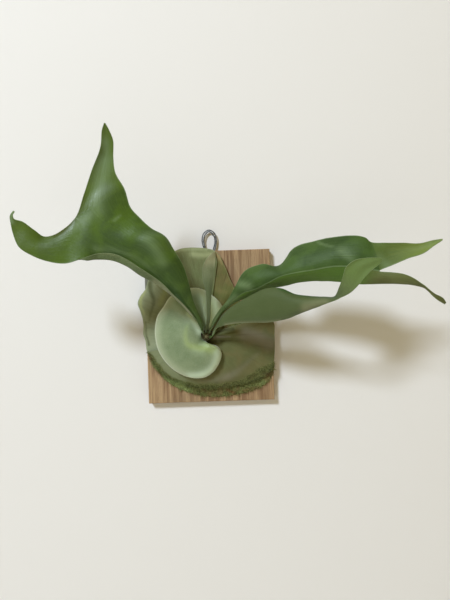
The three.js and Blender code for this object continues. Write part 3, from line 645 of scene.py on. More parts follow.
def wire_loop():
    """One wire wound twice round, its legs down in the pocket."""
    arch = [(5.2, 73), (5.3, 82), (6.3, 92), (8, 98.5), (8.55, 104.5), (6.7, 111.6)]
    eye_middle, eye_half = 92, 24
    sway, sway_turn = 0.06, 0.13
    low_turn = [(3.6, 68.9), (1.2, 67.5), (-1.8, 67.5), (-2.7, 69.1)]
    route = []
    for inset, after in ((0, low_turn), (STRAND_GAP, [])):
        side = [(half - inset, z - inset * (z - eye_middle) / eye_half) for half, z in arch]
        route += [(-half, z) for half, z in side] + [(0, LOOP_TOP - inset)] + side[::-1] + after
    path = spline([(LOOP_X + x, -LOOP_OUT, z) for x, z in route], 10)
    path[:, 0] += sway * np.sin(np.arange(len(path)) * sway_turn)
    tangents = unit(np.gradient(path, axis=0))
    sides = 14
    across, up = np.cos(around(sides)), np.sin(around(sides))
    side = np.cross(tangents[0], [0.0, 1.0, 0.0])
    rings = []
    for point, ahead in zip(path, tangents):
        side = unit(side - ahead * side.dot(ahead))
        rings.append(point + WIRE / 2 * (np.outer(across, side) + np.outer(up, np.cross(ahead, side))))
    faces = tube_faces(len(path), sides)
    make_piece("wire_loop", np.vstack(rings), faces, ["hanging_loop"], "wire", [WIRE_STEEL])


# The mound of moss that the shields lie on

def ground(x, z):
    across = (x - MOUND["x"]) / MOUND["half_width"]
    up = (z - MOUND["z"]) / MOUND["half_height"]
    reach = np.hypot(across, up)
    return MOUND["foot"] + MOUND["rise"] * np.exp(-MOUND["fall"] * reach ** 2) * smooth(0.95, 0.55, reach)


def sheet_grid(rim, start, end, steps, across, closed=False, crowd=1.0, lip=0.0):
    """Places of a sheet that reaches from the hole round the crown out to its rim.
    Past its middle the sheet may have a lip that leans in over the hole."""
    edge = spline([seen(*point) for point in rim], steps, closed)
    rows = len(edge)
    t = np.arange(rows) / (rows if closed else rows - 1)
    angle = np.radians(start + (end - start) * t)
    hole = HOLE_RADIUS - lip * smooth(0.5, 0.64, t)
    hole_x = CROWN_X + hole * np.cos(angle)
    hole_z = CROWN_Z + hole * np.sin(angle)
    s = (np.arange(across + 1) / across) ** crowd
    x = hole_x[:, None] + (edge[:, 0] - hole_x)[:, None] * s
    z = hole_z[:, None] + (edge[:, 2] - hole_z)[:, None] * s
    return x, z, *np.broadcast_arrays(s, t[:, None], -edge[:, 1:2])


MOSS_RIM_OUT = 14
MOSS_RIM = [
    (252, 315), (234, 295), (222, 276), (205, 262), (184, 264), (164, 276), (152, 294), (149, 316),
    (149, 340), (151, 358), (156.5, 369), (165, 378.5), (177, 387), (191, 392.5), (205, 395.5),
    (219, 396), (233, 394.5), (247, 391.5), (259, 387), (268.5, 380), (273.5, 369), (271, 350),
    (268, 330),
]

# Where the moss has dried brown
DRY_SPOTS = [
    ([(150, 356, 16), (152, 359, 16)], 1.8, 0, 0.7), ([(158, 372, 16), (162, 375.5, 16)], 2.4, 0, 0.8),
    ([(227, 390, 16), (234, 393, 16)], 2.2, 0, 0.8), ([(244, 391, 16), (252, 389, 16)], 2, 0, 0.5),
    ([(270, 372, 16), (267, 380, 16)], 2.4, 0, 0.5),
]

# Painted light: where the moss is painted paler, most on its lit left side
MOSS_PAINTED_LIGHT_SPOTS = [
    ([(151, 361, 16), (158, 369, 16), (168, 379, 16), (180, 387, 16), (188, 390, 16)], 4.5, 0, 0.6),
    ([(262, 384, 16), (268, 379, 16)], 3, 0, 0.25),
    ([(165, 378, 17), (173, 381.5, 17), (183, 384.5, 17)], 3.6, 0, 0.9),
]


def moss_marks(points):
    return {"dry": near_curves(points, DRY_SPOTS), "moss_painted_light": near_curves(points, MOSS_PAINTED_LIGHT_SPOTS)}


def moss_pad():
    rim = [(u, v, MOSS_RIM_OUT) for u, v in MOSS_RIM]
    x, z, s, *_ = sheet_grid(rim, start=28, end=388, steps=14, across=26, closed=True, crowd=0.5)
    flat = layer(x, 0, z)
    lumps = 0.9 * wander(flat, 5, seed=7, octaves=3) + 0.5 * wander(flat, 1.8, seed=8)
    fringe = smooth(0.88, 0.93, s) * smooth(-42, -52, z)
    out = ground(x, z) + fringe * np.maximum(lumps + 0.8, 0.2)
    front = sheet(
        "moss", x, z, out, BOARD_FACE + SEAT_GAP, moss_marks(flat), closed=True, round_out=0.8,
        replaced=["moss_pad"], slot="moss", materials=[MOSS] * 3,
    )
    tufts("moss_strands", front[s > 0.86], "moss", MOSS_STRANDS, count=5200)


# Where round a strand its three edges run, in radians
STRAND_TURNS = (0, 2.09, 4.19)


def strand(root, direction, length, width, droop):
    """A tapering curved strand with three sides."""
    side = unit(np.cross(direction, [rng.gauss(0, 1), rng.gauss(0, 1), rng.gauss(0, 1)]))
    other = np.cross(direction, side)
    points = []
    for part, share in ((0, 1), (0.55, 0.75)):
        centre = root + direction * length * part + droop * part * part
        for turn in STRAND_TURNS:
            points.append(centre + width * share * (math.cos(turn) * side + math.sin(turn) * other))
    points.append(root + direction * length + droop)
    faces = [(0, 2, 1), (0, 1, 4, 3), (1, 2, 5, 4), (2, 0, 3, 5), (3, 4, 6), (4, 5, 6), (5, 3, 6)]
    return points, faces


def gather(name, parts, **options):
    """One mesh from many small ones."""
    points, faces = [], []
    for part_points, part_faces in parts:
        start = len(points)
        points += list(part_points)
        faces += [[start + i for i in face] for face in part_faces]
    return make_piece(name, np.array(points), faces, **options)


def tufts(name, places, slot, material, count, spread=1, size=1):
    """Seeded strands or hairs that stand out from the places and away from the middle,
    longer in clumps."""
    middle = np.array([MOUND["x"], 0, MOUND["z"]])
    clumps = 1 + 0.7 * wander(places, 5, seed=61)
    marks = moss_marks(places)
    parts, values = [], {key: [] for key in marks}
    for _ in range(count):
        chosen = rng.randrange(len(places))
        root = places[chosen] + np.array([rng.gauss(0, 0.6), 0.4, rng.gauss(0, 0.6)]) * size
        away = unit((root - middle) * [1, 0, 1])
        direction = away * rng.uniform(-0.1, 1.3) * spread
        direction = unit(direction + [rng.gauss(0, 0.55), -rng.uniform(0.2, 1.0), rng.gauss(0, 0.55)])
        length, width = clumps[chosen] * size * rng.uniform(1.4, 3.8), size * rng.uniform(0.12, 0.24)
        droop = size * np.array([rng.gauss(0, 0.5), 0.2, -rng.uniform(0, 1.2)])
        points, faces = strand(root, direction, length, width, droop)
        points = [np.array([x, min(y, -BOARD_FACE - 0.1), z]) for x, y, z in points]
        parts.append((points, faces))
        for key, numbers in marks.items():
            values[key] += [numbers[chosen]] * len(points)
    gather(name, parts, slot=slot, materials=[material], values=values)


# Old shields

# Where the moss ends on the lower shield, from the left round the bottom to the right
MOSS_LINE_OUT = 17
MOSS_LINE = [
    (149, 351), (155, 358), (162, 367), (169, 374), (176, 378.5), (187, 381.5), (200, 383), (215, 383),
    (230, 381.5), (242, 378.5), (251, 373.5), (259, 368), (268, 364), (277, 360),
]


def beyond_moss_line(x, z):
    """How far out past the moss line a place of the lower shield is."""
    line = spline([seen(u, v, MOSS_LINE_OUT) for u, v in MOSS_LINE], 4)
    turn = np.arctan2(line[:, 0] - CROWN_X, CROWN_Z - line[:, 2])
    reach = np.hypot(line[:, 0] - CROWN_X, line[:, 2] - CROWN_Z)
    here = np.arctan2(x - CROWN_X, CROWN_Z - z)
    return np.hypot(x - CROWN_X, z - CROWN_Z) - np.interp(here, turn, reach)


def old_shield(
    name, node, slot, material, rim, start, end, level, folds, fold_depth, phase, lift, seed,
    ribbing=0.15, grooves=(), lights=(), mossy=False,
):
    """A drying shield: pleated from the crown, with crumpled wrinkles and an uneven rim."""
    x, z, s, t, _ = sheet_grid(rim, start, end, steps=12, across=40)
    flat = layer(x, 0, z)
    angle = np.arctan2(z - CROWN_Z, x - CROWN_X)
    fold = fold_depth * np.sin(angle * folds + phase) * smooth(0, 0.35, s)
    ribs = wander(np.stack([angle * 14, s * 1.4, 0 * s], -1), 1.0, seed, octaves=3)
    crumple = wander(flat, 9, seed + 1, octaves=3)
    relief = (ribbing * ribs + 0.4 * crumple) * smooth(0.02, 0.3, s)
    groove = near_curves(flat, grooves)
    out = ground(x, z) + level + fold + lift(s, t, np.degrees(angle)) + relief - 1.2 * groove
    # The grooves sink the sheet; with the rib valleys they carry painted shade
    crease_shade = np.clip(-ribs * 1.6 - 0.5, 0, 1) * smooth(0.05, 0.3, s) * ribbing / 0.15
    moss = smooth(-1.2, 1.6, beyond_moss_line(x, z) + 1.4 * crumple) * mossy
    # The light marks are mostly painted light, highlights and lighter paint over shade; the left shield's rim
    # bulge is its own yellow-green
    values = {
        "reach": s, "turn": t, "crease_shade": np.maximum(crease_shade, groove), "light": near_curves(flat, lights),
        "mossy": moss,
    }
    materials = [material, material, PAPER_RIM]
    front = sheet(name, x, z, out, out - OLD_THICK, values, replaced=[node], slot=slot, materials=materials)
    if mossy:
        grown, at_rim = moss > 0.5, s > 0.97
        tufts("moss_tufts", front[grown], "moss", MOSS_TUFTS, count=1800, spread=0.9, size=0.9)
        tufts("moss_rim_tufts", front[grown & at_rim], "moss", MOSS_TUFTS, count=1500, spread=1.4)


# How far each old shield stands off its level, from its reach, its turn and the angle in degrees.
# All four are called alike, though only the last one needs the angle.

def upper_right_lift(s, t, angle):
    return 3 * s ** 3 * smooth(0.1, 0.4, t) * smooth(0.85, 0.6, t)


def left_lift(s, t, angle):
    middle = smooth(0.15, 0.3, t) * smooth(0.85, 0.7, t)
    return middle * (1.5 * smooth(0.7, 0.9, s) - 3 * smooth(0.9, 1, s))


def upper_left_lift(s, t, angle):
    rise = 5 * s ** 3 * (0.3 + 0.7 * smooth(0, 0.25, t)) * smooth(1, 0.7, t)
    return rise - 3 * smooth(0.9, 1, s) * smooth(0.1, 0.25, t) * smooth(0.85, 0.7, t)


def lower_lift(s, t, angle):
    pucker = hump(angle, 2, 7) * smooth(0.04, 0.16, s) * smooth(0.66, 0.2, s)
    roll = smooth(0.8, 1, s) * smooth(0.08, 0.2, t) * smooth(1, 0.9, t)
    return 4.5 * pucker - 2.6 * roll


OLD_SHIELDS = [
    dict(
        name="upper_right_shield", node="old_shield_upper_right", slot="old_shield_olive",
        material=PAPER_OLIVE,
        rim=[
            (240, 305, 18), (236, 294, 18), (233, 285, 19), (230, 279, 20), (226.5, 270, 21),
            (222.5, 261, 22), (219, 254, 23), (214, 250, 24), (208, 250, 24), (203, 256, 23),
        ],
        start=32, end=112, level=OLD_LEVEL, folds=9, fold_depth=0.5, phase=0.6,
        lift=upper_right_lift, seed=11,
        grooves=[([(219, 269, 22), (221, 277, 21), (222, 284, 20)], 5.5, 0, 0.35)],
        lights=[
            ([(215, 252, 23), (219, 257, 23), (222, 264, 22)], 3, 0.5, 0.9),
            ([(215, 290, 20), (221, 291, 20), (226, 292, 19)], 3.4, 0, 0.22),
        ],
    ),
    dict(
        name="left_shield", node="old_shield_left", slot="old_shield_grey", material=PAPER_GREY,
        rim=[
            (166, 270, 20), (156, 274, 19), (148, 280, 18), (145, 289, 17), (139.5, 297, 16),
            (137.5, 304, 15.5), (140, 311, 15.5), (142.4, 319, 15.5), (143.3, 327, 15.5),
            (143, 334, 15.5), (145.5, 341, 15.5), (147, 351, 15.5), (152, 361, 15.5),
        ],
        start=132, end=214, level=OLD_LEVEL, folds=14, fold_depth=0.25, phase=0, lift=left_lift, seed=13,
        ribbing=0.05,
        grooves=[
            ([(149, 283, 19), (150.5, 291, 17), (154, 300, 16), (151.5, 311, 16), (149, 322, 16)], 3.8, 0.6),
            ([(149, 345, 16), (146.5, 335, 16), (146, 322, 16)], 1.4, 0.3),
        ],
        lights=[
            ([(143, 291, 17), (140.5, 298, 16), (140.5, 305, 16), (144, 314, 16)], 3.2, 0.5),
            ([(160, 282, 19), (166, 288, 18), (163, 296, 18), (160, 304, 17)], 5.5, 0.2, 0.6),
        ],
    ),
    dict(
        name="upper_left_shield", node="old_shield_upper_left", slot="old_shield_green", material=PAPER_GREEN,
        rim=[
            (217, 262, 24), (215.5, 255, 25), (214, 250.3, 25), (207, 248.2, 25), (199, 247.4, 25),
            (189, 247.2, 25), (180, 248.4, 25), (172.5, 252, 25), (168, 260, 24), (165, 271, 23),
            (162, 284, 22),
        ],
        start=76, end=142, level=UPPER_LEVEL, folds=11, fold_depth=0.6, phase=2,
        lift=upper_left_lift, seed=15,
        grooves=[
            ([(182, 259, 24), (187, 268, 24), (191, 279, 24), (193, 290, 23)], 5.5, 0.2, 0.55),
            ([(199, 266, 24), (199, 276, 24), (200, 288, 23)], 4, 0.2, 0.4),
        ],
        lights=[
            ([(172, 251, 25), (182, 249.3, 25), (194, 248.6, 25), (206, 249.2, 25)], 2.6, 0, 0.5),
            ([(192, 254, 25), (201, 255, 25), (211, 254, 25)], 4.5, 0, 0.6),
        ],
    ),
    dict(
        name="lower_shield", node="old_shield_lower", slot="old_shield_brown", material=PAPER_BROWN,
        rim=[
            (148.5, 352, 17), (152, 360, 17), (157, 367, 17), (163, 373.5, 17), (171, 379, 17),
            (181, 383, 17), (193, 386, 17), (207, 387.5, 17), (221, 387, 17), (236, 385, 17),
            (250, 381.5, 17), (261, 377.5, 17), (269.5, 372, 17), (273.5, 364, 17), (274.8, 350, 17),
            (274.6, 335, 17), (273.5, 322, 18), (262, 317, 19),
        ],
        start=200, end=382, level=UPPER_LEVEL, folds=7, fold_depth=0.35, phase=1.2, lift=lower_lift, seed=17,
        ribbing=0.05, mossy=True,
        grooves=[
            ([(208, 342, 20), (219, 340.5, 20), (230, 340, 20), (240, 339.5, 20)], 2.6, 0.8),
            ([(211, 333.5, 20), (218, 331, 20), (226, 329.5, 20), (233, 328.5, 20)], 2.8, 0.3),
            ([(146, 353, 16), (151, 354.5, 16), (156, 360, 16)], 1.5, 0.2),
        ],
        lights=[
            ([(214, 337, 20), (222, 336, 20), (230, 336, 20)], 2.2, 0.4, 0.9),
            ([(228, 376, 18), (238, 370, 18), (250, 360, 19), (262, 350, 19)], 7, 0.6, 0.5),
            ([(228, 376, 18), (214, 379.5, 18), (200, 380, 18)], 7, 0.6, 0.5),
            ([(246, 334, 20), (258, 338, 19), (270, 344, 18)], 10, 0, 0.75),
        ],
    ),
]


# Young shield

YOUNG_RIM = [
    (223, 309, 32), (220.5, 303.5, 33), (216, 298.5, 34), (210, 294, 34), (204, 290, 34), (197, 288, 34),
    (188, 288.5, 33), (178, 292, 32), (169.8, 297, 31), (163.2, 307, 30), (157.4, 316, 29),
    (155, 328, 28), (155.3, 338, 28), (158, 349.5, 28), (163.2, 359, 28), (170, 366.8, 28),
    (178, 372.8, 28), (187, 376.8, 28), (196.4, 378.3, 28), (205.5, 377, 28), (214, 371, 29),
    (219.6, 362.2, 30), (221.6, 353.8, 32), (218.6, 347.4, 36), (213, 344.8, 40), (206.5, 344.6, 42),
]

# The yellower ridge on the young shield, lighter too as a painted highlight, from the lobe's tip round to
# above the crown's left
YOUNG_RIDGE = [
    (214, 348, 40), (206, 347, 42), (198, 347.5, 43), (188, 344, 44), (185.5, 335, 44), (188, 325, 42),
    (195, 317, 40),
]

# Painted light on it: highlights on the free margin and the lobe's rim, and lighter paint beside the crown,
# on the lobe and in the left frond's shadow
YOUNG_PAINTED_LIGHTS = [
    ([(200, 344, 42), (208, 345.5, 41), (215, 347, 39)], 1.8, 0, 0.2),
    (
        [
            (191, 376.5, 29), (200, 375, 31), (207.5, 372, 32), (213, 367, 33), (217, 360, 34),
            (218.5, 353, 37),
        ],
        5.4, 0, 0.88,
    ),
    ([(188, 314, 40), (192, 319, 41), (196.5, 325, 41), (199.5, 332, 40)], 3.6, 0, 0.75),
    ([(195, 350, 40), (202, 352, 38)], 4, 0, 0.12),
    ([(174, 306, 32), (183, 313, 36), (190, 320, 38)], 5, 0, 0.3),
]


def young_shield():
    """The kidney-shaped young shield that curls round the crown, and its fan above."""
    x, z, s, t, edge_out = sheet_grid(YOUNG_RIM, start=48, end=262, steps=11, across=46, crowd=0.8, lip=0.9)
    flat = layer(x, 0, z)
    base = np.maximum(edge_out, ground(x, z) + YOUNG_LEVEL)
    dome = np.sqrt(np.maximum(0, 1 - s ** 2.4)) * smooth(-0.35, 0.34, s)
    cushion = 14 * dome * smooth(0.2, 0.42, t) * smooth(1.06, 0.86, t)
    fan = 4.5 * hump(t, 0.172, 0.024) - 2.5 * hump(t, 0.235, 0.03) + 1.5 * hump(t, 0.07, 0.05)
    out = base * (1 - 0.1 * smooth(0.3, 0, s) * smooth(0.5, 0.9, t)) + cushion + fan * np.sin(math.pi * s)
    ribs = wander(np.stack([t * 60, s * 1.6, 0 * s], -1), 1.0, seed=21)
    relief = 0.05 * ribs + 0.3 * wander(flat, 14, seed=22)
    out = out + relief * smooth(0.02, 0.3, s) * smooth(1.0, 0.9, s)
    # Painted light on the fan, its stripe and the pale marks, and painted shade in the crease by the crown
    values = {
        "reach": s, "turn": t, "ridge": near_curve(flat, YOUNG_RIDGE, width=7, taper=0.75),
        "crease_shade": smooth(0.12, 0.0, s) * smooth(0.4, 0.25, t), "pale": near_curves(flat, YOUNG_PAINTED_LIGHTS),
        "fan_painted_light": 0.8 * smooth(0.14, 0.11, t) * smooth(0.0, 0.15, s),
        "stripe_painted_light": hump(t, 0.167, 0.032) * smooth(0.0, 0.12, s),
    }
    front = sheet(
        "young_kidney_shield", x, z, out, out - YOUNG_THICK, values, round_out=0.3,
        replaced=["young_shield"], slot="young_shield", materials=[YOUNG_FELT, YOUNG_FELT, YOUNG_RIM_FELT],
    )
    tufts("young_rim_hairs", front[:, -1], "young_shield", YOUNG_RIM_FELT, count=3000, size=0.28)


# Rhizome and its scaly bud

def rhizome():
    foot, sides = BOARD_FACE + SEAT_GAP, 40
    profile = [(0.02, foot), (ROOT_RADIUS, foot), (ROOT_RADIUS, ROOT_OUT), (NECK_RADIUS, NECK_OUT)]
    for angle in np.arange(12) / 12 * math.pi / 2:
        profile.append((BUD_RADIUS * math.cos(angle), BUD_OUT + BUD_RADIUS * math.sin(angle)))
    profile.append((0.02, BUD_OUT + BUD_RADIUS))
    across, up = np.cos(around(sides)), np.sin(around(sides))
    rings = [layer(CROWN_X + radius * across, out, CROWN_Z + radius * up) for radius, out in profile]
    faces = [face[::-1] for face in tube_faces(len(profile), sides)]
    make_piece("rhizome_core", np.vstack(rings), faces, ["rhizome"], "rhizome", [SCALES])


def bud_scales():
    """Narrow papery scales in rows up the bud, their tips free."""
    parts = []
    rings, scales, thick = 11, 16, 0.12
    first_out, ring_step = 30.5, 1.1
    for ring in range(rings):
        out = first_out + ring * ring_step
        rise = max(0, out - BUD_OUT) / BUD_RADIUS
        radius = np.interp(out, [ROOT_OUT, NECK_OUT, BUD_OUT], [ROOT_RADIUS, NECK_RADIUS, BUD_RADIUS])
        radius *= math.sqrt(max(0.05, 1 - rise * rise))
        for i in range(scales):
            angle = (i + 0.5 * (ring % 2)) / scales * 2 * math.pi + rng.gauss(0, 0.06)
            away = np.array([math.cos(angle), 0, math.sin(angle)])
            root = np.array([CROWN_X, -out, CROWN_Z]) + away * (radius - 0.3)
            aim = unit(away * rng.uniform(0.2, 0.8) + [0, -1, 0])
            length, width = rng.uniform(2.4, 4.2), rng.uniform(0.35, 0.7)
            ahead, side = aim * length, np.cross(away, aim) * width
            outline = [(0, -1), (0, 1), (0.6, 0.6), (1, 0), (0.6, -0.6)]
            points = [root + ahead * part + side * share for part, share in outline]
            points += [point - away * thick for point in points]
            faces = [(0, 1, 2, 4), (4, 2, 3), (6, 5, 9, 7), (9, 8, 7)]
            faces += [(1, 0, 5, 6), (2, 1, 6, 7), (3, 2, 7, 8), (4, 3, 8, 9), (0, 4, 9, 5)]
            parts.append((points, faces))
    gather("bud_scales", parts, slot="rhizome", materials=[SCALES])


# Fronds. A station is [edge, lift, centre, lift, edge] across the blade; its points are (u, v, out),
# and a lift is either how far the half blade bulges out or the half blade's middle point.

def half_station(left, lift, right):
    start, end = seen(*left), seen(*right)
    middle = seen(*lift) if isinstance(lift, tuple) else (start + end) / 2 - [0, lift, 0]
    return [start, middle, end]


def whole_station(left, left_lift, centre, right_lift, right):
    return half_station(left, left_lift, centre) + half_station(centre, right_lift, right)[1:]


def root_station(aim, width_aim, away):
    """A cross line of the stipe's root, square to the stipe and some way out from the bud."""
    direction = unit(np.array(aim) * [1, -1, 1])
    side = np.array(width_aim, float)
    side = unit(side - direction * side.dot(direction))
    root = np.array([CROWN_X, -BUD_OUT, CROWN_Z]) + direction * (BUD_RADIUS + away)
    return [root + side * part * STIPE_WIDTH / 2 for part in (-1, -0.5, 0, 0.5, 1)]


def across_half(columns, cells):
    """Points across a half blade, on the parabola through its three long curves."""
    first, middle, last = [column[:, None] for column in columns]
    v = (np.arange(cells + 1) / cells)[None, :, None]
    return first * (1 - v) * (1 - 2 * v) + middle * 4 * v * (1 - v) + last * v * (2 * v - 1)


def soften(rows, strength, width, rounds, start):
    """Rounds the fold along the middle of each row past the start, moving points only out or in."""
    middle = (rows.shape[1] - 1) / 2
    reach = hump(np.arange(1, rows.shape[1] - 1), middle, width)
    reach = reach * smooth(start - 0.15, start + 0.1, np.linspace(0, 1, len(rows)))[:, None]
    for _ in range(rounds):
        between = (rows[:, :-2, 1] + rows[:, 2:, 1]) / 2
        rows[:, 1:-1, 1] += strength * reach * (between - rows[:, 1:-1, 1])


def blade_thickness(length, edge):
    swell = np.sqrt(np.maximum(0, 1 - (1 - edge) ** 2))
    blade = BLADE_MARGIN + (BLADE_MIDDLE - BLADE_MARGIN) * swell * smooth(1, 0.75, length)
    stipe_thick = STIPE_WIDTH + (STIPE_THICK - STIPE_WIDTH) * smooth(0, 0.05, length)
    return blade + (stipe_thick - BLADE_MIDDLE) * smooth(0.3, 0.06, length) * swell


def notch_margin(lobes, notch, side, steps):
    """The inner margin of one lobe past the notch; both lobes' margins are one smooth curve."""
    if not lobes[0]:
        return np.empty((0, 3))
    points = [station[0] for station in lobes[1][::-1]] + [notch] + [station[2] for station in lobes[0]]
    curve = spline(points, steps)
    middle = len(lobes[1]) * steps
    return curve[middle + 1:] if side == 0 else curve[:middle][::-1]


def frond(
    name, node, slot, materials, seed, root, trunk, lobes=((), ()), fold=(0.5, 0.45, 24, -1), wave=0.5,
    steps=12, cells=12, painted_lights=(), curls=(),
):
    """A frond from its stipe's root to its tips, its trunk splitting into lobes at the middle.
    The fold is how much, how wide and how many times its middle is softened, and from where."""
    stations = [root_station(*root, away) for away in (SEAT_GAP + 0.1, STIPE_THICK)]
    stations += [whole_station(*station) for station in trunk]
    lobes = [[half_station(*station) for station in lobe] for lobe in lobes]
    fork = (len(stations) - 1) * steps
    centre = spline([station[2] for station in stations], steps)
    halves = []
    for side in (0, 1):
        own = [station[2 * side:2 * side + 3] for station in stations] + lobes[side]
        columns = [spline([station[i] for station in own], steps) for i in range(3)]
        columns[2 - 2 * side] = np.vstack([centre, notch_margin(lobes, centre[-1], side, steps)])
        halves.append(across_half(columns, cells))
    rows = np.concatenate([halves[0][:fork + 1, :-1], halves[1][:fork + 1]], 1)
    sharp_end = rows[-1].copy()
    strength, width, rounds, start = fold
    soften(rows, strength, cells * width, rounds, start)
    softened = rows[-1] - sharp_end

    # Each part is its points, how far along they are, how far in from the edge, and their lane
    lane = np.arange(2 * cells + 1) / cells - 1
    lobe_edge = 1 - np.abs(2 * np.abs(lane) - 1)
    longest = max(len(half) for half in halves) - 1
    row = np.arange(fork + 1)[:, None]
    share = smooth(fork - 2.5 * steps, fork, row) * bool(lobes[0])
    parts = [(rows, row / longest, (1 - np.abs(lane)) * (1 - share) + lobe_edge * share, lane)]
    trunk_index = np.arange(rows[..., 0].size).reshape(rows.shape[:2])
    grids, count = [trunk_index], trunk_index.size
    for side, half in enumerate(halves):
        extra = half[fork + 1:]
        if not len(extra):
            continue
        own = slice(side * cells, side * cells + cells + 1)
        fade = smooth(1.5 * steps, 0, np.arange(1, len(extra) + 1))
        extra = extra + fade[:, None, None] * softened[own]
        row = np.arange(fork + 1, len(half))[:, None]
        parts.append((extra, row / (len(half) - 1), lobe_edge[own], lane[own]))
        index = count + np.arange(extra[..., 0].size).reshape(extra.shape[:2])
        grids.append(np.vstack([trunk_index[-1:, own], index]))
        count += index.size
    quads = np.vstack([quads_of(index) for index in grids])
    points = np.vstack([part[0].reshape(-1, 3) for part in parts])
    length, edge, lane = [
        np.concatenate([np.broadcast_to(part[i], part[0].shape[:2]).ravel() for part in parts])
        for i in (1, 2, 3)
    ]
    swing = wave * wander(points, 16, seed) * smooth(0.12, 0.35, length)
    points = points + point_normals(points, quads) * (swing * (1 - 0.5 * edge))[:, None]
    half = point_normals(points, quads) * (blade_thickness(length, edge) / 2)[:, None]
    # The painted light marks carry painted highlights and lighter paint over shade
    values = {
        "along": length, "edge": edge, "lane": lane,
        "painted_light": near_curves(points, painted_lights), "curl": near_curves(points, curls),
    }
    front, back = points + half, points - half
    slab(name, front, back, quads, values, round_out=0.12, replaced=[node], slot=slot, materials=materials)


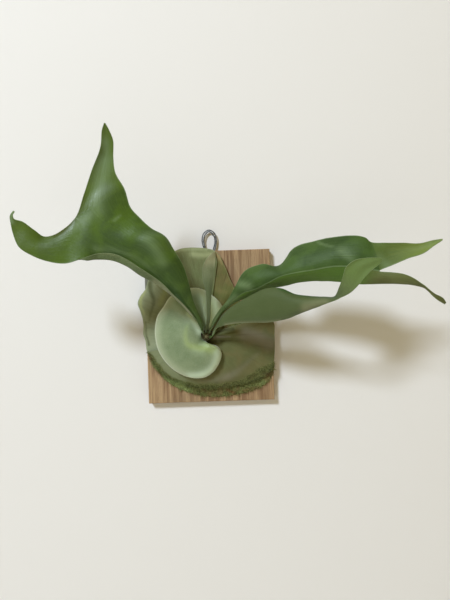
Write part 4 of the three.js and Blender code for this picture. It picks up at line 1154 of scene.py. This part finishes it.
# The painted light marks on a frond are painted highlights and lighter paint where it lies in shade; a curl
# is a line where its margin curls over
FRONDS = [
    dict(
        name="left_frond", node="frond_left", slot="frond", seed=31, fold=(0.5, 0.45, 24, 0.66),
        materials=[FROND_UNDER, FROND_TOP, MARGIN], root=((-0.52, 0.62, 0.59), (0.75, 0, 0.65)),
        trunk=[
            ((202.6, 323, 60), 0, (200.5, 324, 61), 0, (198.3, 324, 60)),
            ((198.3, 313, 69), 0.5, (194.5, 314, 71), (190.5, 313.5, 71), (193, 315.5, 74)),
            ((193.2, 300, 78), 0.5, (186, 303, 81), (178.5, 301, 81), (184, 305, 85)),
            ((188.6, 283, 86), 1, (178, 289, 90), (165.5, 289.5, 90), (173.5, 295, 96)),
            ((183.5, 266.5, 93), 2, (168, 275, 98), (153.5, 281.5, 97), (161.5, 283, 104)),
            ((175, 251.5, 99), 4, (156, 263, 105), (141, 274.5, 103), (147.5, 273, 110)),
            ((164.5, 236, 104), 7, (142.5, 250.5, 110), (127.5, 265, 109), (131.5, 262.5, 115)),
            ((151.6, 228.7, 107), 4, (125, 245, 115), (113, 259.8, 113), (114, 254, 118)),
            ((139.4, 217.4, 109), 0, (108, 236, 119), (99, 257.8, 117), (98.5, 253.5, 120)),
            ((130.4, 207.2, 112), 0, (91, 228, 121), (87, 256.5, 122), (86, 257, 124)),
            ((124.5, 189, 117), 0, (75.5, 217.5, 121), (69.5, 243, 124), (66, 263.4, 125)),
        ],
        lobes=[
            [
                ((115.4, 173, 121), -2.5, (84, 194, 121)), ((113, 157, 125), -3, (92.5, 168, 124)),
                ((113, 141, 130), -2.5, (100.4, 147, 129)), ((108.8, 129.5, 135), -1, (101.8, 130.5, 134)),
                ((105.3, 123, 138), 0, (104, 123, 138)),
            ],
            [
                ((58.5, 232.5, 122), 3, (47, 261.2, 128)), ((44.5, 236.6, 124), 3, (30.5, 254.8, 131)),
                ((33.5, 229.5, 130), 1, (18.5, 246.5, 133)), ((23, 222, 135), -1, (12.8, 233, 134)),
                ((14, 218.8, 137), 0, (10.3, 221, 136)), ((12.8, 215, 138), 0, (10, 215.8, 137)),
                ((14.8, 211.6, 138.5), 0, (13.3, 210.8, 138)),
            ],
        ],
        painted_lights=[
            ([(103, 160, 126), (99, 180, 121), (96, 196, 120), (98, 212, 119)], 8, 0.3),
            ([(103.5, 141, 132), (105, 152, 129), (106.5, 166, 126)], 4.5, 0.3, 0.85),
            ([(149, 240, 108), (156, 248, 107), (163, 262, 103)], 7.5, 0.3, 0.75),
            ([(70, 226, 121), (84, 220, 121), (94, 211, 121)], 6, 0.5),
            ([(115, 220, 115), (120, 216, 114)], 1.6, 0.2, 0.8),
            ([(14, 212, 138), (11.5, 217, 137), (12.5, 222, 135)], 1.8, 0, 1),
            (
                [
                    (97, 249, 116), (112, 251, 112), (126, 254, 109), (137, 261, 106), (148, 268, 103),
                    (157, 275, 99), (166, 283, 95), (174, 290, 91),
                ],
                3.2, 0, 0.5,
            ),
            ([(154, 281, 106), (160, 285, 102), (168, 291, 97), (178, 299, 90)], 2.6, 0.2, 0.4),
            ([(176, 294, 88), (182, 301.5, 83), (188, 309, 78), (193, 314.5, 74)], 1.8, 0.2, 0.8),
        ],
        curls=[
            ([(56, 235, 121), (66, 229, 121), (73.5, 219, 121), (79, 208, 121), (83, 195, 121)], 3.4, 0.2),
        ],
    ),
    dict(
        name="upper_right_frond", node="frond_right_upper", slot="frond", seed=33, fold=(0.4, 0.1, 3, -1),
        materials=[RIDGED_TOP, FROND_UNDER, MARGIN], root=((0.5, 0.6, 0.63), (-0.7, 0, 0.7)),
        trunk=[
            ((212, 322, 55), 0, (213.7, 322.6, 56), 0, (215.3, 323.2, 55)),
            ((218.5, 311, 60), 0, (221, 311.5, 61), 0, (223.5, 312, 59)),
            ((227.6, 300, 66), 1, (231.5, 301, 68), 0.5, (234, 303, 64)),
            ((235.2, 286.5, 71), 2, (243.5, 292.5, 76), 1, (247.5, 297.5, 69)),
            ((244.7, 271.4, 75), 5, (255.5, 289, 83), 1, (259, 293, 74)),
            ((261, 264.3, 81), 4, (268.5, 282.5, 91), 1, (271, 288.5, 79)),
            ((279, 265.5, 88), 3, (281, 276, 98), 1, (285, 286, 86)),
            ((294.5, 247.5, 92), 4, (297, 272.5, 105), 1, (299, 282.4, 93)),
            ((314, 241.3, 99), 5, (315, 269.6, 111), 1, (316, 281, 99)),
            ((335, 237, 107), 5, (334, 266.4, 117), 1, (335, 281.5, 105)),
            ((356, 235.7, 115), 4, (356, 267, 122), 1, (354, 283.7, 112)),
            ((365.5, 237.8, 118), 3, (368, 269, 123.6), 1, (363, 284.1, 115.5)),
            ((371, 242, 120), 2, (379.5, 271, 125), 1, (372, 284.2, 119)),
        ],
        lobes=[
            [
                ((386, 242.8, 124), -2, (393.5, 264.7, 128)), ((402, 242.8, 128), -3, (408, 258.4, 132)),
                ((420, 243.2, 132), -2, (423, 253.7, 136)), ((432.5, 240.3, 136), -1, (434.5, 245.8, 138)),
                ((442.5, 238.8, 139), 0, (442.6, 240.2, 139)),
            ],
            [
                ((392, 272.3, 129), 2, (388, 284, 123)), ((404, 274, 132), 2, (402, 284, 126)),
                ((415, 278.8, 133), 1, (414, 285.2, 127)), ((425.3, 286.2, 131), 0, (424.6, 288.4, 126)),
                ((434.5, 293.4, 123), 0, (432.8, 296, 125)), ((442.6, 298, 117), 0, (439.4, 301.3, 120)),
                ((446, 302.5, 113), 0, (444.6, 304.2, 114)),
            ],
        ],
        painted_lights=[
            ([(241, 284, 73), (248, 286, 77)], 4.5, 0, 0.8), ([(229, 303, 66), (236, 298, 70)], 4, 0, 0.6),
            ([(318, 243.5, 100), (330, 247.5, 108), (345, 249.5, 113)], 1.6, 0.3, 0.7),
            ([(340, 252, 113), (346, 257, 115), (352, 263, 119)], 4.5, 0.3, 0.6),
            ([(378, 258, 121), (385, 265, 125)], 5, 0, 0.6),
            ([(431, 243, 137), (441, 239.5, 139)], 4, 0, 0.5),
        ],
    ),
    dict(
        name="lower_right_frond", node="frond_right_lower", slot="frond_under", seed=35,
        materials=[PALE_UNDER, PALE_TOP, MARGIN], root=((0.72, 0.66, -0.16), (-0.2, 0, 1)),
        trunk=[
            ((218.8, 320.8, 52), 0, (217.8, 324.3, 54), 0, (216.2, 328.6, 53)),
            ((226.8, 310.5, 64), 1, (226, 317, 66.5), 0.5, (224, 325.6, 62)),
            ((240, 301.5, 76), 1.5, (239, 312.5, 78), 1, (237, 323.2, 72)),
            ((252.6, 294.6, 85), 2, (253, 309, 88), 1.5, (251, 322.7, 81)),
            ((265, 289, 93), 3, (268, 306.5, 97), 2, (268, 322.3, 90)),
            ((279.7, 288.3, 100), 3, (283, 305, 106), 2, (284, 319.6, 99)),
            ((294, 293.7, 104), 2.5, (297.5, 304, 112), 2, (300, 313.7, 107)),
            ((308, 296, 110), 1, (311.5, 302.5, 119), 1, (315, 308, 117)),
            ((322, 296.6, 115), 0, (325, 300, 124), 0, (328, 303, 126)),
            ((334, 296.5, 122), 0, (336.8, 297.6, 129), 0, (339.5, 298.5, 134)),
            ((339, 287.5, 131), 0, (345, 290, 137), 0, (351, 292.3, 141)),
            ((343, 276, 139), -1, (351, 280, 143), -1, (359.2, 284.2, 146)),
            ((346.5, 266.5, 144), -1.5, (355.5, 271.5, 147), -1.5, (366, 276, 149)),
            ((355, 260.3, 148), -1.5, (362.5, 265.5, 150), -1.5, (372.5, 269.5, 151)),
            ((368, 257.8, 150), -0.5, (372, 261.5, 152), -0.5, (378, 265.2, 152)),
            ((381, 257.8, 152), 0, (382, 259.4, 152.5), 0, (382.3, 261, 152)),
        ],
        painted_lights=[
            ([(306, 307.5, 112), (316, 304, 118), (325, 301.5, 124)], 5, 0.3, 0.42),
            (
                [(226, 324.8, 64), (237, 323.2, 72), (251, 322.7, 81), (268, 322.3, 90), (280, 320.5, 97)],
                1.8, 0.2, 0.5,
            ),
        ],
        curls=[
            (
                [(280, 289, 101), (290, 292.5, 103), (302, 295.5, 107), (318, 297, 113), (334, 297, 122)],
                1.7, 0.2,
            ),
        ],
    ),
    dict(
        name="middle_frond", node="frond_middle", slot="young_frond", seed=37, steps=10, cells=6, wave=0.2,
        materials=[SMALL_UNDER, PALE_TOP, MARGIN], root=((0, 0.42, 0.91), (1, 0, 0)),
        trunk=[
            ((206.6, 320, 51), 0, (208.3, 320, 51.6), 0, (210, 320, 51)),
            ((206.9, 305, 56), 0, (208.8, 305, 57), 0, (210.7, 305, 56)),
            ((205.9, 293, 60), 0, (208.8, 292.6, 61.5), 0, (211.6, 292.4, 60)),
            ((203.2, 281, 64), -0.5, (208.5, 280.5, 66.5), -0.5, (213.2, 280.2, 64)),
            ((202.2, 270, 69), -1, (208.7, 269.5, 70), -1, (214.7, 269, 68)),
            ((204.8, 261.5, 74), -1, (210, 260.5, 74), -1, (215.3, 259.5, 73)),
            ((209.5, 255, 78), 0, (212.2, 254.6, 78.5), 0, (215, 254.2, 78)),
            ((213.2, 251.6, 81), 0, (214, 251.4, 81), 0, (214.8, 251.2, 81)),
        ],
    ),
]


# The room: a wall, a floor, soft light and the photograph's camera

def stage_plane(name, rectangles, material):
    """Flat rectangles, each given by its corners."""
    points = [corner for rectangle in rectangles for corner in rectangle]
    faces = np.arange(len(points)).reshape(-1, 4).tolist()
    new_object(name, new_mesh(name, points, faces, [material]))


def stage():
    paint = Surface("wall_paint", (230, 227, 222), 0.9)
    paint.finish()
    back, clear = paint.add("NewGeometry").outputs["Backfacing"], paint.add("BsdfTransparent").outputs[0]
    both = paint.add("MixShader", {0: back, 1: paint.shader.outputs[0], 2: clear})
    paint.put(paint.tree.nodes["Material Output"], {"Surface": both.outputs[0]})
    # The wall is open behind the board, so that the board's back is lit in views from behind
    inset = 2
    left, _, low = BOARD_LOW + inset
    right, _, high = BOARD_HIGH - inset
    wall_y, far, bottom, top = 0.6, 1600, -600, 1400
    bands = [
        (-far, left, bottom, top), (right, far, bottom, top),
        (left, right, bottom, low), (left, right, high, top),
    ]
    walls = [
        [(x0, wall_y, z0), (x1, wall_y, z0), (x1, wall_y, z1), (x0, wall_y, z1)] for x0, x1, z0, z1 in bands
    ]
    stage_plane("wall", walls, paint.material)
    floor = [[(-far, -far, bottom), (far, -far, bottom), (far, far, bottom), (-far, far, bottom)]]
    stage_plane("floor", floor, Surface("floor_paint", (226, 223, 218), 0.9).finish())


def area_light(name, place, aim, size, power, tint):
    light = bpy.data.lights.new(name, "AREA")
    light.shape = "DISK"
    light.size = size
    light.energy = power
    light.color = tint
    lamp = new_object(name, light)
    lamp.location = place
    lamp.rotation_euler = (Vector(aim) - Vector(place)).to_track_quat("-Z", "Y").to_euler()


def lights():
    """Two lamps, placed in metres, and a warm fill. A plain pale colour shows behind the object."""
    area_light("key", (-1.1, -2.2, 1.55), (0, -0.05, 0), size=0.5, power=76, tint=(0.75, 0.85, 1.0))
    area_light("behind", (0.5, 1.5, 0.6), (0, 0, 0), size=1.0, power=16, tint=(1, 1, 1))
    world = bpy.data.worlds.new("soft_room")
    bpy.context.scene.world = world
    world.use_nodes = True
    tree = world.node_tree
    fill, plain = tree.nodes["Background"], tree.nodes.new("ShaderNodeBackground")
    fill.inputs["Color"].default_value = (1.0, 0.8, 0.36, 1)
    fill.inputs["Strength"].default_value = 0.38
    plain.inputs["Color"].default_value = (0.75, 0.74, 0.72, 1)
    choice, path = tree.nodes.new("ShaderNodeMixShader"), tree.nodes.new("ShaderNodeLightPath")
    for i, socket in enumerate((path.outputs["Is Camera Ray"], fill.outputs[0], plain.outputs[0])):
        tree.links.new(socket, choice.inputs[i])
    tree.links.new(choice.outputs[0], tree.nodes["World Output"].inputs["Surface"])


def camera():
    lens = bpy.data.cameras.new("photo_camera")
    lens.lens = lens.sensor_width * FOCAL_PIXELS / PICTURE_HEIGHT
    eye = new_object("photo_camera", lens)
    eye.matrix_world = Matrix((
        (math.cos(ROLL), math.sin(ROLL), 0, EYE_X * MM),
        (0, 0, -1, -EYE_OUT * MM),
        (-math.sin(ROLL), math.cos(ROLL), 0, EYE_Z * MM),
        (0, 0, 0, 1),
    ))
    bpy.context.scene.camera = eye


camera()
stage()
lights()
board()
wire_loop()
moss_pad()
for shield in OLD_SHIELDS:
    old_shield(**shield)
young_shield()
rhizome()
bud_scales()
for leaf in FRONDS:
    frond(**leaf)

for node, material in {
    "loop_strap": STRAP_STEEL, "strap_screw_left": SCREW_STEEL, "strap_screw_right": SCREW_STEEL,
    "moss_nail_1": NAIL_STEEL, "moss_nail_2": NAIL_STEEL, "moss_nail_3": NAIL_STEEL,
}.items():
    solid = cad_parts[node]
    solid.data.materials.clear()
    solid.data.materials.append(material)

bpy.context.scene.view_settings.view_transform = "Standard"
